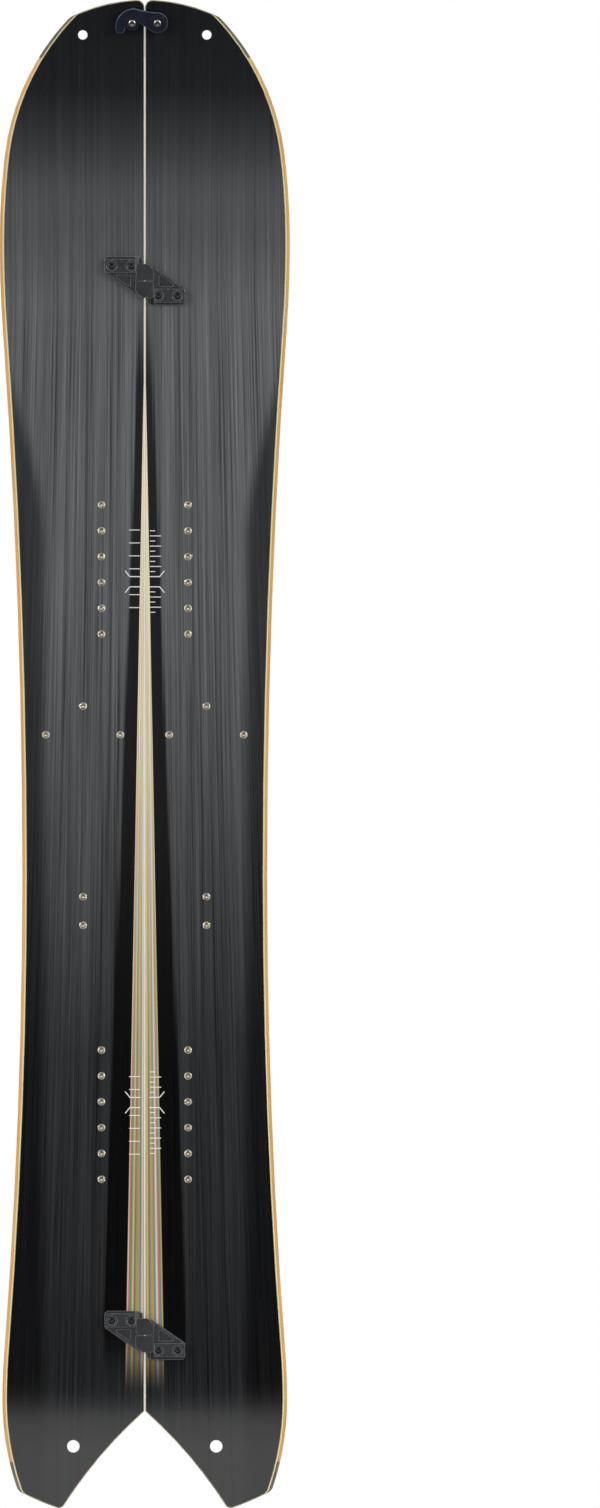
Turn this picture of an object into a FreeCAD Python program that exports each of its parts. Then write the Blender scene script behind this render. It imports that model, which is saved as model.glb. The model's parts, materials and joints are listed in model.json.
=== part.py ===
import FreeCAD, Part
import math
import os
import Sketcher
from FreeCAD import Placement, Rotation, Vector

# A splitboard: a snowboard that parts lengthwise into two ski halves.
# Board coordinates: X across (right half at +X), Z along the board from the tail
# tips (0) up to the nose, Y through the thickness. The running face of the base
# is at Y = 0 and the topsheet looks towards -Y.
# Every sub-part is then moved so that the origin lies midway between the two
# nose holes, in the middle of the board's thickness.

os.makedirs("parts", exist_ok=True)
doc = FreeCAD.newDocument("splitboard")
sheet = doc.addObject("Spreadsheet::Sheet", "Dimensions")

DRIVING_DIMENSIONS = [
    # outline
    ("nose_apex", 1481.5),
    ("nose_half_width", 142.6),
    ("nose_widest_z", 1244.7),
    ("waist_half_width", 120.3),
    ("waist_z", 621.0),
    ("tail_half_width", 139.9),
    ("tail_widest_z", 105.6),
    ("nose_sidecut_radius", 7500.0),
    ("tail_sidecut_radius", 6150.0),
    ("nose_end_radius", 166.0),
    ("nose_flank_radius", 236.0),
    ("nose_side_radius", 700.0),
    ("nose_side_sweep", 6.97),
    ("tail_side_radius", 265.0),
    ("tail_end_radius", 250.0),
    ("tail_end_outer_x", 121.5),
    ("tail_end_outer_z", 15.2),
    ("tail_tip_x", 86.0),
    ("swallow_radius", 453.0),
    ("swallow_depth", 95.0),
    ("swallow_tip_x", 81.0),
    ("seam_gap", 0.6),
    ("nose_notch_radius", 7.5),
    ("nose_corner_radius", 14.0),
    ("tail_corner_radius", 9.0),
    ("tail_tip_radius", 6.0),
    ("swallow_root_radius", 3.0),
    # side profile
    ("nose_curve_start", 1232.0),
    ("nose_rise", 36.0),
    ("tail_curve_start", 135.0),
    ("tail_rise", 14.0),
    ("tip_taper", 2.5),
    # layers
    ("base_thickness", 1.3),
    ("bottom_laminate_thickness", 0.8),
    ("core_thickness", 5.0),
    ("top_laminate_thickness", 0.8),
    ("topsheet_thickness", 0.6),
    ("edge_width", 2.3),
    ("sidewall_width", 8.0),
    ("sidewall_step_depth", 3.2),
    ("laminate_rim", 0.4),
    ("laminate_narrowing", 2.6),
    ("topsheet_rim", 0.8),
    ("topsheet_narrowing", 3.6),
    ("tip_spacer_start", 1425.0),
    ("tail_spacer_end", 45.0),
    ("blank_half_width", 160.0),
    ("blank_overrun", 5.0),
    ("sidewall_split_x", 60.0),
    # holes in the board
    ("nose_hole_x", 60.9),
    ("nose_hole_z", 1447.0),
    ("nose_hole_radius", 4.6),
    ("tail_hole_x", 70.2),
    ("tail_hole_z", 60.4),
    ("tail_hole_radius", 6.1),
    # threaded inserts
    ("insert_radius", 3.8),
    ("insert_bore_radius", 2.6),
    ("insert_mouth_radius", 3.2),
    ("insert_mouth_depth", 0.6),
    ("insert_flange_radius", 7.0),
    ("insert_flange_thickness", 1.0),
    ("insert_floor", 0.8),
    ("insert_pitch", 25.4),
    ("binding_column_x", 42.55),
    ("front_stance_z", 921.8),
    ("rear_stance_z", 386.2),
    ("half_centre_x", 60.6),
    ("touring_front_z", 787.6),
    ("touring_rear_offset", 28.2),
    ("touring_rear_spacing", 73.2),
    ("heel_centre_z", 586.3),
    ("heel_pitch", 28.1),
    # split hooks
    ("front_hook_z", 1205.4),
    ("rear_hook_z", 169.4),
    ("hook_plate_height", 2.4),
    ("hook_bar_height", 6.6),
    ("hook_web_height", 4.6),
    ("hook_web_recess", 1.4),
    ("hook_lip_low", 2.8),
    ("hook_lip_high", 5.8),
    ("hook_catch_low", 1.4),
    ("hook_groove_floor", 1.0),
    ("hook_length_x", 39.5),
    ("hook_top_z", 24.0),
    ("hook_plate_flank_z", 7.4),
    ("hook_plate_foot_z", 18.6),
    ("hook_plate_shoulder_x", 7.0),
    ("hook_plate_shoulder_z", 21.9),
    ("hook_plate_radius", 3.0),
    ("hook_end_radius", 4.0),
    ("hook_bar_low_z", 8.0),
    ("hook_bar_high_z", 21.2),
    ("hook_bar_radius", 1.5),
    ("hook_web_margin", 2.0),
    ("hook_web_head_z", 9.0),
    ("hook_web_foot_z", 17.2),
    ("hook_web_radius", 0.5),
    ("hook_recess_outer_x", 31.0),
    ("hook_recess_inner_x", 14.0),
    ("hook_recess_head_z", 5.6),
    ("hook_recess_foot_z", 6.2),
    ("hook_lip_reach", 8.4),
    ("hook_lip_gap", 0.3),
    ("hook_lip_end", 16.7),
    ("hook_lip_slant", 6.0),
    ("hook_lip_radius", 2.0),
    ("hook_catch_setback", 2.0),
    ("hook_catch_radius", 0.6),
    ("hook_catch_width", 2.1),
    ("hook_catch_end", 7.0),
    ("hook_ledge_inner", 2.3),
    ("hook_ledge_outer", 5.7),
    ("hook_groove_outer", 9.1),
    ("hook_screw_outer_x", 32.3),
    ("hook_screw_pitch", 19.05),
    ("hook_screw_z", 14.6),
    ("hook_head_radius", 3.4),
    ("hook_head_recess_radius", 3.7),
    ("hook_head_recess_depth", 2.8),
    ("hook_dish_radius", 5.2),
    ("hook_dish_depth", 0.7),
    ("hook_screw_hole_radius", 2.3),
    # screws and nuts
    ("screw_shank_radius", 2.0),
    ("screw_head_radius", 3.8),
    ("screw_head_height", 2.4),
    ("screw_socket_radius", 1.5),
    ("screw_socket_depth", 1.5),
    ("screw_reach", 5.6),
    ("nut_barrel_radius", 3.0),
    ("nut_bore_radius", 2.1),
    ("nut_flange_radius", 4.3),
    ("nut_flange_thickness", 1.1),
    ("nut_recess", 0.1),
    ("nut_floor", 0.5),
    # nose clip
    ("clip_z", 1461.0),
    ("clip_offset_x", 12.4),
    ("clip_clearance", 5.1),
    ("lever_thickness", 4.0),
    ("lever_end_play", 0.15),
    ("lever_hub_radius", 10.3),
    ("lever_bore_radius", 4.05),
    ("bush_journal_radius", 4.0),
    ("bush_collar_radius", 7.5),
    ("washer_radius", 7.6),
    ("washer_thickness", 0.9),
    ("post_radius", 6.4),
    ("post_pocket_radius", 6.9),
    ("seat_gap", 0.06),
]

for row, (alias, value) in enumerate(DRIVING_DIMENSIONS, start=1):
    sheet.set(f"A{row}", alias)
    sheet.set(f"B{row}", str(value))
    sheet.setAlias(f"B{row}", alias)
doc.recompute()


def dim(alias):
    """A driving dimension, read back from the sheet."""
    return float(sheet.get(alias))


# ---------------------------------------------------------------- plane geometry

def polar(centre, radius, direction):
    """The point of a circle that lies in a direction (dx, dy) from its centre."""
    length = math.hypot(direction[0], direction[1])
    return (centre[0] + radius * direction[0] / length, centre[1] + radius * direction[1] / length)


def circle_meet(centre_a, radius_a, centre_b, radius_b, near):
    """The meeting point of two circles that lies nearest to a given point."""
    dx = centre_b[0] - centre_a[0]
    dy = centre_b[1] - centre_a[1]
    gap = math.hypot(dx, dy)
    along = (radius_a ** 2 - radius_b ** 2 + gap ** 2) / (2.0 * gap)
    across = math.sqrt(radius_a ** 2 - along ** 2)
    foot = (centre_a[0] + along * dx / gap, centre_a[1] + along * dy / gap)
    candidates = [
        (foot[0] - across * dy / gap, foot[1] + across * dx / gap),
        (foot[0] + across * dy / gap, foot[1] - across * dx / gap),
    ]
    return min(candidates, key=lambda point: math.hypot(point[0] - near[0], point[1] - near[1]))


def circle_through(point_a, point_b, radius, side):
    """Centre of the circle of a radius through two points, on one side of their chord."""
    middle = ((point_a[0] + point_b[0]) / 2.0, (point_a[1] + point_b[1]) / 2.0)
    dx = point_b[0] - point_a[0]
    dy = point_b[1] - point_a[1]
    chord = math.hypot(dx, dy)
    rise = math.sqrt(radius ** 2 - (chord / 2.0) ** 2)
    return (middle[0] - side * rise * dy / chord, middle[1] + side * rise * dx / chord)


def line(start, end):
    """A straight edge of a loop."""
    return ("line", start, end)


def arc(centre, radius, start, end):
    """A round edge of a loop, the short way from start to end."""
    middle = ((start[0] + end[0]) / 2.0, (start[1] + end[1]) / 2.0)
    direction = (middle[0] - centre[0], middle[1] - centre[1])
    return ("arc", start, polar(centre, radius, direction), end)


def rounded_loop(corners):
    """Closed loop of straight edges from corners (x, y, radius)."""
    tangents = []
    count = len(corners)
    for index, (x, y, radius) in enumerate(corners):
        before = corners[index - 1]
        after = corners[(index + 1) % count]
        back = (before[0] - x, before[1] - y)
        ahead = (after[0] - x, after[1] - y)
        back_length = math.hypot(*back)
        ahead_length = math.hypot(*ahead)
        cosine = (back[0] * ahead[0] + back[1] * ahead[1]) / (back_length * ahead_length)
        half_angle = math.acos(cosine) / 2.0
        setback = radius / math.tan(half_angle)
        start = polar((x, y), setback, back) if radius else (x, y)
        end = polar((x, y), setback, ahead) if radius else (x, y)
        bisector = (back[0] / back_length + ahead[0] / ahead_length,
                    back[1] / back_length + ahead[1] / ahead_length)
        centre = polar((x, y), radius / math.sin(half_angle), bisector) if radius else (x, y)
        tangents.append((start, end, centre, radius))
    edges = []
    for index, (start, end, centre, radius) in enumerate(tangents):
        if radius:
            edges.append(arc(centre, radius, start, end))
        edges.append(line(end, tangents[(index + 1) % count][0]))
    return edges


def rectangle(low_x, high_x, low_y, high_y):
    """Closed rectangular loop."""
    return rounded_loop([(low_x, low_y, 0), (high_x, low_y, 0), (high_x, high_y, 0), (low_x, high_y, 0)])


def far_border():
    """A rectangle well outside the board's outline."""
    margin = dim("blank_half_width")
    return rectangle(-3 * margin, 3 * margin, -margin, dim("nose_apex") + margin)


def mirrored(loop, sign):
    """A loop for the right half (sign +1), or mirrored for the left half (sign -1)."""
    return [(edge[0],) + tuple((sign * x, y) for x, y in edge[1:]) for edge in loop]


# ---------------------------------------------------------------- the board's outline

def half_outline(inset, narrowing=0.0):
    """Outline of the right half, anticlockwise from the swallowtail's root.

    inset moves the whole outline inward, narrowing brings only the long outer
    side in, as the bevelled sidewall does to the topsheet.
    """
    seam = dim("seam_gap") / 2.0 + inset
    nose_width = dim("nose_half_width") - narrowing
    waist_width = dim("waist_half_width") - narrowing
    tail_width = dim("tail_half_width") - narrowing

    def fillet(alias):
        return max(dim(alias) - inset, 0.5)

    # swallowtail: the notch side is convex, so its circle's centre is in the notch
    swallow_root = (0.0, dim("swallow_depth"))
    swallow_tip = (dim("swallow_tip_x"), 0.0)
    swallow = circle_through(swallow_root, swallow_tip, dim("swallow_radius"), -1)
    swallow_radius = dim("swallow_radius") + inset
    root_radius = fillet("swallow_root_radius")
    root_x = seam + root_radius
    root_reach = swallow_radius + root_radius
    root = (root_x, swallow[1] + math.sqrt(root_reach ** 2 - (root_x - swallow[0]) ** 2))

    # tail end and tail side
    tail_end = circle_through((dim("tail_tip_x"), 0.0), (dim("tail_end_outer_x"), dim("tail_end_outer_z")),
                              dim("tail_end_radius"), 1)
    tail_end_radius = dim("tail_end_radius") - inset
    tip_radius = fillet("tail_tip_radius")
    tip = circle_meet(tail_end, tail_end_radius - tip_radius, swallow, swallow_radius + tip_radius,
                      swallow_tip)
    tail_side = (tail_width - dim("tail_side_radius"), dim("tail_widest_z"))
    tail_side_radius = dim("tail_side_radius") - inset
    tail_corner_radius = fillet("tail_corner_radius")
    tail_corner = circle_meet(tail_end, tail_end_radius - tail_corner_radius, tail_side,
                              tail_side_radius - tail_corner_radius, (tail_width, dim("tail_end_outer_z")))

    # sidecut, with the convex blends that lead it into the widest points
    def widest_blend(width, widest_z, sidecut_radius):
        flare = width - waist_width
        reach = widest_z - dim("waist_z")
        return (reach ** 2 - 2.0 * sidecut_radius * flare + flare ** 2) / (2.0 * flare)

    tail_blend_radius = widest_blend(tail_width, dim("tail_widest_z"), dim("tail_sidecut_radius"))
    nose_blend_radius = widest_blend(nose_width, dim("nose_widest_z"), dim("nose_sidecut_radius"))
    tail_blend = (tail_width - tail_blend_radius, dim("tail_widest_z"))
    nose_blend = (nose_width - nose_blend_radius, dim("nose_widest_z"))
    tail_sidecut = (waist_width + dim("tail_sidecut_radius"), dim("waist_z"))
    nose_sidecut = (waist_width + dim("nose_sidecut_radius"), dim("waist_z"))
    tail_cut_start = polar(tail_blend, tail_blend_radius - inset,
                           (tail_sidecut[0] - tail_blend[0], tail_sidecut[1] - tail_blend[1]))
    nose_cut_end = polar(nose_blend, nose_blend_radius - inset,
                         (nose_sidecut[0] - nose_blend[0], nose_sidecut[1] - nose_blend[1]))
    waist = (waist_width - inset, dim("waist_z"))

    # nose side, flank, corner and end
    sweep = math.radians(dim("nose_side_sweep"))
    sweep_direction = (math.cos(sweep), math.sin(sweep))
    nose_side = (nose_width - dim("nose_side_radius"), dim("nose_widest_z"))
    nose_side_radius = dim("nose_side_radius") - inset
    flank_step = dim("nose_side_radius") - dim("nose_flank_radius")
    flank = polar(nose_side, flank_step, sweep_direction)
    flank_radius = dim("nose_flank_radius") - inset
    nose_end = (0.0, dim("nose_apex") - dim("nose_end_radius"))
    nose_end_radius = dim("nose_end_radius") - inset
    corner_radius = fillet("nose_corner_radius")
    corner = circle_meet(nose_end, nose_end_radius - corner_radius, flank, flank_radius - corner_radius,
                         (nose_width / 2.0, dim("nose_apex")))
    notch_radius = fillet("nose_notch_radius")
    notch_x = seam + notch_radius
    notch = (notch_x, nose_end[1] + math.sqrt((nose_end_radius - notch_radius) ** 2 - notch_x ** 2))

    def touch(centre, radius, other):
        """Where a circle touches a fillet circle whose centre is known."""
        return polar(centre, radius, (other[0] - centre[0], other[1] - centre[1]))

    root_seam = (seam, root[1])
    root_swallow = touch(swallow, swallow_radius, root)
    tip_swallow = touch(swallow, swallow_radius, tip)
    tip_end = touch(tail_end, tail_end_radius, tip)
    corner_end = touch(tail_end, tail_end_radius, tail_corner)
    corner_side = touch(tail_side, tail_side_radius, tail_corner)
    tail_widest = (tail_width - inset, dim("tail_widest_z"))
    nose_widest = (nose_width - inset, dim("nose_widest_z"))
    flank_start = polar(nose_side, nose_side_radius, sweep_direction)
    flank_end = touch(flank, flank_radius, corner)
    end_start = touch(nose_end, nose_end_radius, corner)
    end_finish = touch(nose_end, nose_end_radius, notch)
    notch_seam = (seam, notch[1])
    return [
        arc(root, root_radius, root_seam, root_swallow),
        arc(swallow, swallow_radius, root_swallow, tip_swallow),
        arc(tip, tip_radius, tip_swallow, tip_end),
        arc(tail_end, tail_end_radius, tip_end, corner_end),
        arc(tail_corner, tail_corner_radius, corner_end, corner_side),
        arc(tail_side, tail_side_radius, corner_side, tail_widest),
        arc(tail_blend, tail_blend_radius - inset, tail_widest, tail_cut_start),
        arc(tail_sidecut, dim("tail_sidecut_radius") + inset, tail_cut_start, waist),
        arc(nose_sidecut, dim("nose_sidecut_radius") + inset, waist, nose_cut_end),
        arc(nose_blend, nose_blend_radius - inset, nose_cut_end, nose_widest),
        arc(nose_side, nose_side_radius, nose_widest, flank_start),
        arc(flank, flank_radius, flank_start, flank_end),
        arc(corner, corner_radius, flank_end, end_start),
        arc(nose_end, nose_end_radius, end_start, end_finish),
        arc(notch, notch_radius, end_finish, notch_seam),
        line(notch_seam, root_seam),
    ]


# ---------------------------------------------------------------- the side profile

CORE_LOW = dim("base_thickness") + dim("bottom_laminate_thickness")
CORE_HIGH = CORE_LOW + dim("core_thickness")
LAMINATE_HIGH = CORE_HIGH + dim("top_laminate_thickness")
BOARD_THICKNESS = LAMINATE_HIGH + dim("topsheet_thickness")
NOSE_LENGTH = dim("nose_apex") - dim("nose_curve_start")
TAIL_LENGTH = dim("tail_curve_start")


def rocker_circle(height, length, rise):
    """Height of the centre and radius of the end curve that a layer face follows.

    The faces below the core share one centre, and those above it share another,
    a little flatter, so that the core thins towards the tip.
    """
    if height < CORE_HIGH:
        radius = (length ** 2 + rise ** 2) / (2.0 * rise)
        return radius, radius - height
    upper_rise = rise - dim("tip_taper")
    radius = (length ** 2 + upper_rise ** 2) / (2.0 * upper_rise)
    return CORE_HIGH + radius, radius - (height - CORE_HIGH)


def face_height(height, z):
    """How far a layer face lies above the running face's plane at a place along the board."""
    if z > dim("nose_curve_start"):
        centre, radius = rocker_circle(height, NOSE_LENGTH, dim("nose_rise"))
        return centre - math.sqrt(radius ** 2 - (z - dim("nose_curve_start")) ** 2)
    if z < dim("tail_curve_start"):
        centre, radius = rocker_circle(height, TAIL_LENGTH, dim("tail_rise"))
        return centre - math.sqrt(radius ** 2 - (dim("tail_curve_start") - z) ** 2)
    return height


def face_path(height, low_z, high_z):
    """Edges of one layer face in the side view, from low_z to high_z."""
    stations = [low_z, dim("tail_curve_start"), dim("nose_curve_start"), high_z]
    stations = [z for z in stations if low_z <= z <= high_z]
    edges = []
    for start_z, end_z in zip(stations, stations[1:]):
        start = (-face_height(height, start_z), start_z)
        end = (-face_height(height, end_z), end_z)
        if end_z <= dim("tail_curve_start"):
            centre, radius = rocker_circle(height, TAIL_LENGTH, dim("tail_rise"))
            edges.append(arc((-centre, dim("tail_curve_start")), radius, start, end))
        elif start_z >= dim("nose_curve_start"):
            centre, radius = rocker_circle(height, NOSE_LENGTH, dim("nose_rise"))
            edges.append(arc((-centre, dim("nose_curve_start")), radius, start, end))
        else:
            edges.append(line(start, end))
    return edges


def slab_profile(low_height, high_height, low_z, high_z):
    """Closed side view of a layer between two faces."""
    lower = face_path(low_height, low_z, high_z)
    upper = face_path(high_height, low_z, high_z)
    foot = line(upper[0][1], lower[0][1])
    head = line(lower[-1][-1], upper[-1][-1])
    return lower + [head] + upper + [foot]


# ---------------------------------------------------------------- document helpers

def origin_plane(body, role):
    """One of a body's own origin planes."""
    return next(feature for feature in body.Origin.OriginFeatures if feature.Role == role)


def add_sketch(body, name, role, loops, offset=None):
    """A sketch on one of the body's planes that holds closed loops."""
    sketch = body.newObject("Sketcher::SketchObject", name)
    sketch.AttachmentSupport = [(origin_plane(body, role), "")]
    sketch.MapMode = "FlatFace"
    if offset is not None:
        sketch.AttachmentOffset = offset
    for loop in loops:
        for edge in loop:
            points = [Vector(x, y, 0.0) for x, y in edge[1:]]
            if edge[0] == "line":
                sketch.addGeometry(Part.LineSegment(*points))
            else:
                sketch.addGeometry(Part.Arc(*points))
    return sketch


def add_circles(sketch, centres, radius_alias):
    """Circles in a sketch, their radius bound to the sheet."""
    for x, y in centres:
        circle = sketch.addGeometry(Part.Circle(Vector(x, y, 0.0), Vector(0, 0, 1), dim(radius_alias)))
        constraint = sketch.addConstraint(Sketcher.Constraint("Radius", circle, dim(radius_alias)))
        sketch.setExpression(f"Constraints[{constraint}]", f"Dimensions.{radius_alias}")


def add_pad(body, sketch, length_expression):
    """A pad along the sketch's normal, its length bound to the sheet."""
    pad = body.newObject("PartDesign::Pad", sketch.Name + "Pad")
    pad.Profile = sketch
    pad.setExpression("Length", length_expression)
    return pad


def add_pocket(body, sketch, depth_expression=None):
    """A pocket against the sketch's normal, or right through both ways without a depth."""
    pocket = body.newObject("PartDesign::Pocket", sketch.Name + "Pocket")
    pocket.Profile = sketch
    if depth_expression is None:
        pocket.Type = "ThroughAll"
        pocket.Midplane = True
    else:
        pocket.setExpression("Length", depth_expression)
    return pocket


def at_height(height):
    """Offset of a sketch on an XZ plane by a height towards -Y."""
    return Placement(Vector(0, 0, height), Rotation())


def new_body(label, placement):
    """An empty body that carries a sub-part's name and place."""
    body = doc.addObject("PartDesign::Body", label)
    body.Label = label
    body.Placement = placement
    parts.append(body)
    return body


parts = []
NOSE_HOLE_BASE = face_height(0.0, dim("nose_hole_z"))
NOSE_HOLE_TOP = face_height(BOARD_THICKNESS, dim("nose_hole_z"))
ORIGIN_SHIFT_Y = (NOSE_HOLE_BASE + NOSE_HOLE_TOP) / 2.0
BOARD_PLACEMENT = Placement(Vector(0, ORIGIN_SHIFT_Y, -dim("nose_hole_z")), Rotation())
CLIP_PLANE_HEIGHT = face_height(BOARD_THICKNESS, dim("clip_z"))
CLIP_CURVE_CENTRE, CLIP_CURVE_RADIUS = rocker_circle(BOARD_THICKNESS, NOSE_LENGTH, dim("nose_rise"))
CLIP_TILT = math.degrees(math.asin((dim("clip_z") - dim("nose_curve_start")) / CLIP_CURVE_RADIUS))


def clip_sketch_offset():
    """Offset of a sketch on an XZ plane that lays it on the topsheet at the nose clip."""
    return Placement(Vector(0, dim("clip_z"), CLIP_PLANE_HEIGHT), Rotation(Vector(1, 0, 0), CLIP_TILT))


def clip_placement(x):
    """Placement of a clip piece that stands square on the topsheet."""
    local = Placement(Vector(x, -CLIP_PLANE_HEIGHT, dim("clip_z")), Rotation(Vector(1, 0, 0), CLIP_TILT))
    return BOARD_PLACEMENT.multiply(local)


def clip_base_depth():
    """Depth of the base under the topsheet at the clip, square to the topsheet."""
    centre, radius = rocker_circle(0.0, NOSE_LENGTH, dim("nose_rise"))
    tilt = math.radians(CLIP_TILT)
    rise = CLIP_PLANE_HEIGHT - centre
    run = dim("clip_z") - dim("nose_curve_start")
    middle = -rise * math.cos(tilt) + run * math.sin(tilt)
    return math.sqrt(middle ** 2 + radius ** 2 - rise ** 2 - run ** 2) - middle


# ---------------------------------------------------------------- places on the right half

def insert_grid(stance_z):
    """Six inserts of one binding's column."""
    rows = [(row - 2.5) * dim("insert_pitch") for row in range(6)]
    return [(dim("binding_column_x"), stance_z + row) for row in rows]


FRONT_BINDING = insert_grid(dim("front_stance_z"))
REAR_BINDING = insert_grid(dim("rear_stance_z"))
TOURING_REAR_Z = dim("touring_front_z") - dim("touring_rear_offset")
TOURING = [
    (dim("half_centre_x"), dim("touring_front_z")),
    (dim("half_centre_x") - dim("touring_rear_spacing") / 2.0, TOURING_REAR_Z),
    (dim("half_centre_x") + dim("touring_rear_spacing") / 2.0, TOURING_REAR_Z),
]
HEEL = [
    (dim("half_centre_x"), dim("heel_centre_z") - dim("heel_pitch") / 2.0),
    (dim("half_centre_x"), dim("heel_centre_z") + dim("heel_pitch") / 2.0),
]
ALL_INSERTS = FRONT_BINDING + REAR_BINDING + TOURING + HEEL
NOSE_HOLE = [(dim("nose_hole_x"), dim("nose_hole_z"))]
TAIL_HOLE = [(dim("tail_hole_x"), dim("tail_hole_z"))]
CLIP_HOLE = [(dim("clip_offset_x"), 0.0)]


def hook_screws(side):
    """Screw places of a half's hook, in the pair's own coordinates."""
    inner_x = dim("hook_screw_outer_x") - dim("hook_screw_pitch")
    return [(side * inner_x, -side * dim("hook_screw_z")),
            (side * dim("hook_screw_outer_x"), -side * dim("hook_screw_z"))]


def hook_nut_places(side):
    """Screw places of both hooks of a half, in board coordinates."""
    return [(x, pair_z + z) for pair_z in (dim("front_hook_z"), dim("rear_hook_z"))
            for x, z in hook_screws(side)]


# ---------------------------------------------------------------- layers of a half

def on_side(points, side):
    """Places given for the right half, on the half asked for."""
    return [(side * x, z) for x, z in points]


def drill(body, name, centres, radius_alias, offset=None):
    """Round holes right through a body."""
    sketch = add_sketch(body, name, "XZ_Plane", [], offset)
    add_circles(sketch, centres, radius_alias)
    add_pocket(body, sketch)


def curved_layer(label, side, heights, loop, low_z, high_z, inner_x=0.0, hollow=None):
    """A layer that follows the side profile between two faces, cut to a plan loop."""
    body = new_body(label, BOARD_PLACEMENT)
    start = Placement(Vector(0, 0, side * inner_x), Rotation())
    profile = add_sketch(body, label + "_profile", "YZ_Plane", [slab_profile(*heights, low_z, high_z)], start)
    blank = add_pad(body, profile, "Dimensions.blank_half_width")
    blank.Reversed = side < 0
    plan = add_sketch(body, label + "_plan", "XZ_Plane", [far_border(), mirrored(loop, side)])
    add_pocket(body, plan)
    if hollow is not None:
        inside = add_sketch(body, label + "_hollow", "XZ_Plane", [mirrored(hollow, side)])
        add_pocket(body, inside)
    return body


def make_half(name, side):
    """All the bonded layers of one half."""
    low = -dim("blank_overrun")
    high = dim("nose_apex") + dim("blank_overrun")
    tip = dim("tip_spacer_start")
    tail = dim("tail_spacer_end")
    outline = half_outline(0.0)
    inside_edge = half_outline(dim("edge_width"))
    inside_sidewall = half_outline(dim("sidewall_width"))
    laminate_outline = half_outline(dim("laminate_rim"), dim("laminate_narrowing"))
    topsheet_outline = half_outline(dim("topsheet_rim"), dim("topsheet_narrowing"))
    base_heights = (0.0, dim("base_thickness"))
    lower_heights = (dim("base_thickness"), CORE_LOW)
    edge_heights = (0.0, CORE_LOW)
    core_heights = (CORE_LOW, CORE_HIGH)
    upper_heights = (CORE_HIGH, LAMINATE_HIGH)
    topsheet_heights = (LAMINATE_HIGH, BOARD_THICKNESS)
    inserts = on_side(ALL_INSERTS, side)
    end_holes = [("nose_hole", NOSE_HOLE, "nose_hole_radius"), ("tail_hole", TAIL_HOLE, "tail_hole_radius")]

    def drill_set(body, with_inserts, clip_radius):
        for hole, centres, radius in end_holes:
            drill(body, f"{body.Name}_{hole}", on_side(centres, side), radius)
        drill(body, f"{body.Name}_clip_hole", on_side(CLIP_HOLE, side), clip_radius, clip_sketch_offset())
        if with_inserts:
            drill(body, f"{body.Name}_insert_holes", inserts, "insert_radius")
            drill(body, f"{body.Name}_hook_nut_holes", hook_nut_places(side), "nut_barrel_radius")

    topsheet = curved_layer(name + "_topsheet", side, topsheet_heights, topsheet_outline, low, high)
    drill_set(topsheet, True, "nut_barrel_radius")
    laminate = curved_layer(name + "_top_laminate", side, upper_heights, laminate_outline, low, high)
    drill_set(laminate, True, "nut_barrel_radius")

    core = curved_layer(name + "_core", side, core_heights, inside_sidewall, tail, tip)
    drill(core, name + "_core_tail_hole", on_side(TAIL_HOLE, side), "tail_hole_radius")
    drill(core, name + "_core_insert_holes", inserts, "insert_radius")
    flange_seat = add_sketch(core, name + "_core_flange_seats", "XZ_Plane", [],
                             at_height(CORE_LOW + dim("insert_flange_thickness")))
    add_circles(flange_seat, inserts, "insert_flange_radius")
    add_pocket(core, flange_seat, "Dimensions.insert_flange_thickness")
    drill(core, name + "_core_hook_nut_holes", hook_nut_places(side), "nut_barrel_radius")
    nut_seat = add_sketch(core, name + "_core_nut_seats", "XZ_Plane", [],
                          at_height(CORE_LOW + dim("nut_flange_thickness")))
    add_circles(nut_seat, hook_nut_places(side), "nut_flange_radius")
    add_pocket(core, nut_seat, "Dimensions.nut_flange_thickness")

    tip_spacer = curved_layer(name + "_tip_spacer", side, core_heights, outline, tip, high)
    drill(tip_spacer, name + "_tip_spacer_nose_hole", on_side(NOSE_HOLE, side), "nose_hole_radius")
    drill(tip_spacer, name + "_tip_spacer_clip_hole", on_side(CLIP_HOLE, side), "nut_barrel_radius",
          clip_sketch_offset())
    curved_layer(name + "_tail_spacer", side, core_heights, outline, low, tail)
    outer = curved_layer(name + "_outer_sidewall", side, core_heights, outline, tail, tip,
                         dim("sidewall_split_x"), inside_sidewall)
    # the sidewall's upper edge is cut back to the laminate
    step = add_sketch(outer, name + "_sidewall_step", "XZ_Plane",
                      [far_border(), mirrored(laminate_outline, side)],
                      at_height(CORE_HIGH - dim("sidewall_step_depth")))
    step_cut = add_pocket(outer, step, "Dimensions.blank_half_width")
    step_cut.Reversed = True
    inner = curved_layer(name + "_inner_sidewall", side, core_heights, outline, tail, tip,
                         hollow=inside_sidewall)
    beyond_split = rectangle(dim("sidewall_split_x"), 2 * dim("blank_half_width"),
                             -dim("blank_half_width"), 2 * dim("nose_apex"))
    far_side = add_sketch(inner, name + "_inner_sidewall_cut", "XZ_Plane", [mirrored(beyond_split, side)])
    add_pocket(inner, far_side)

    lower = curved_layer(name + "_bottom_laminate", side, lower_heights, inside_edge, low, high)
    drill_set(lower, False, "nut_barrel_radius")
    base = curved_layer(name + "_base", side, base_heights, inside_edge, low, high)
    drill_set(base, False, "nut_flange_radius")
    curved_layer(name + "_steel_edge", side, edge_heights, outline, low, high, hollow=inside_edge)


# ---------------------------------------------------------------- inserts, nuts and screws

def disc_stack(label, centres, placement, steps):
    """Coaxial discs (radius alias, low height, high height) at each centre, fused upward."""
    body = new_body(label, placement)
    for index, (radius_alias, low_height, high_height) in enumerate(steps):
        sketch = add_sketch(body, f"{label}_disc{index}", "XZ_Plane", [], at_height(low_height))
        add_circles(sketch, centres, radius_alias)
        pad = body.newObject("PartDesign::Pad", f"{label}_disc{index}_pad")
        pad.Profile = sketch
        pad.Length = high_height - low_height
    return body


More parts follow.
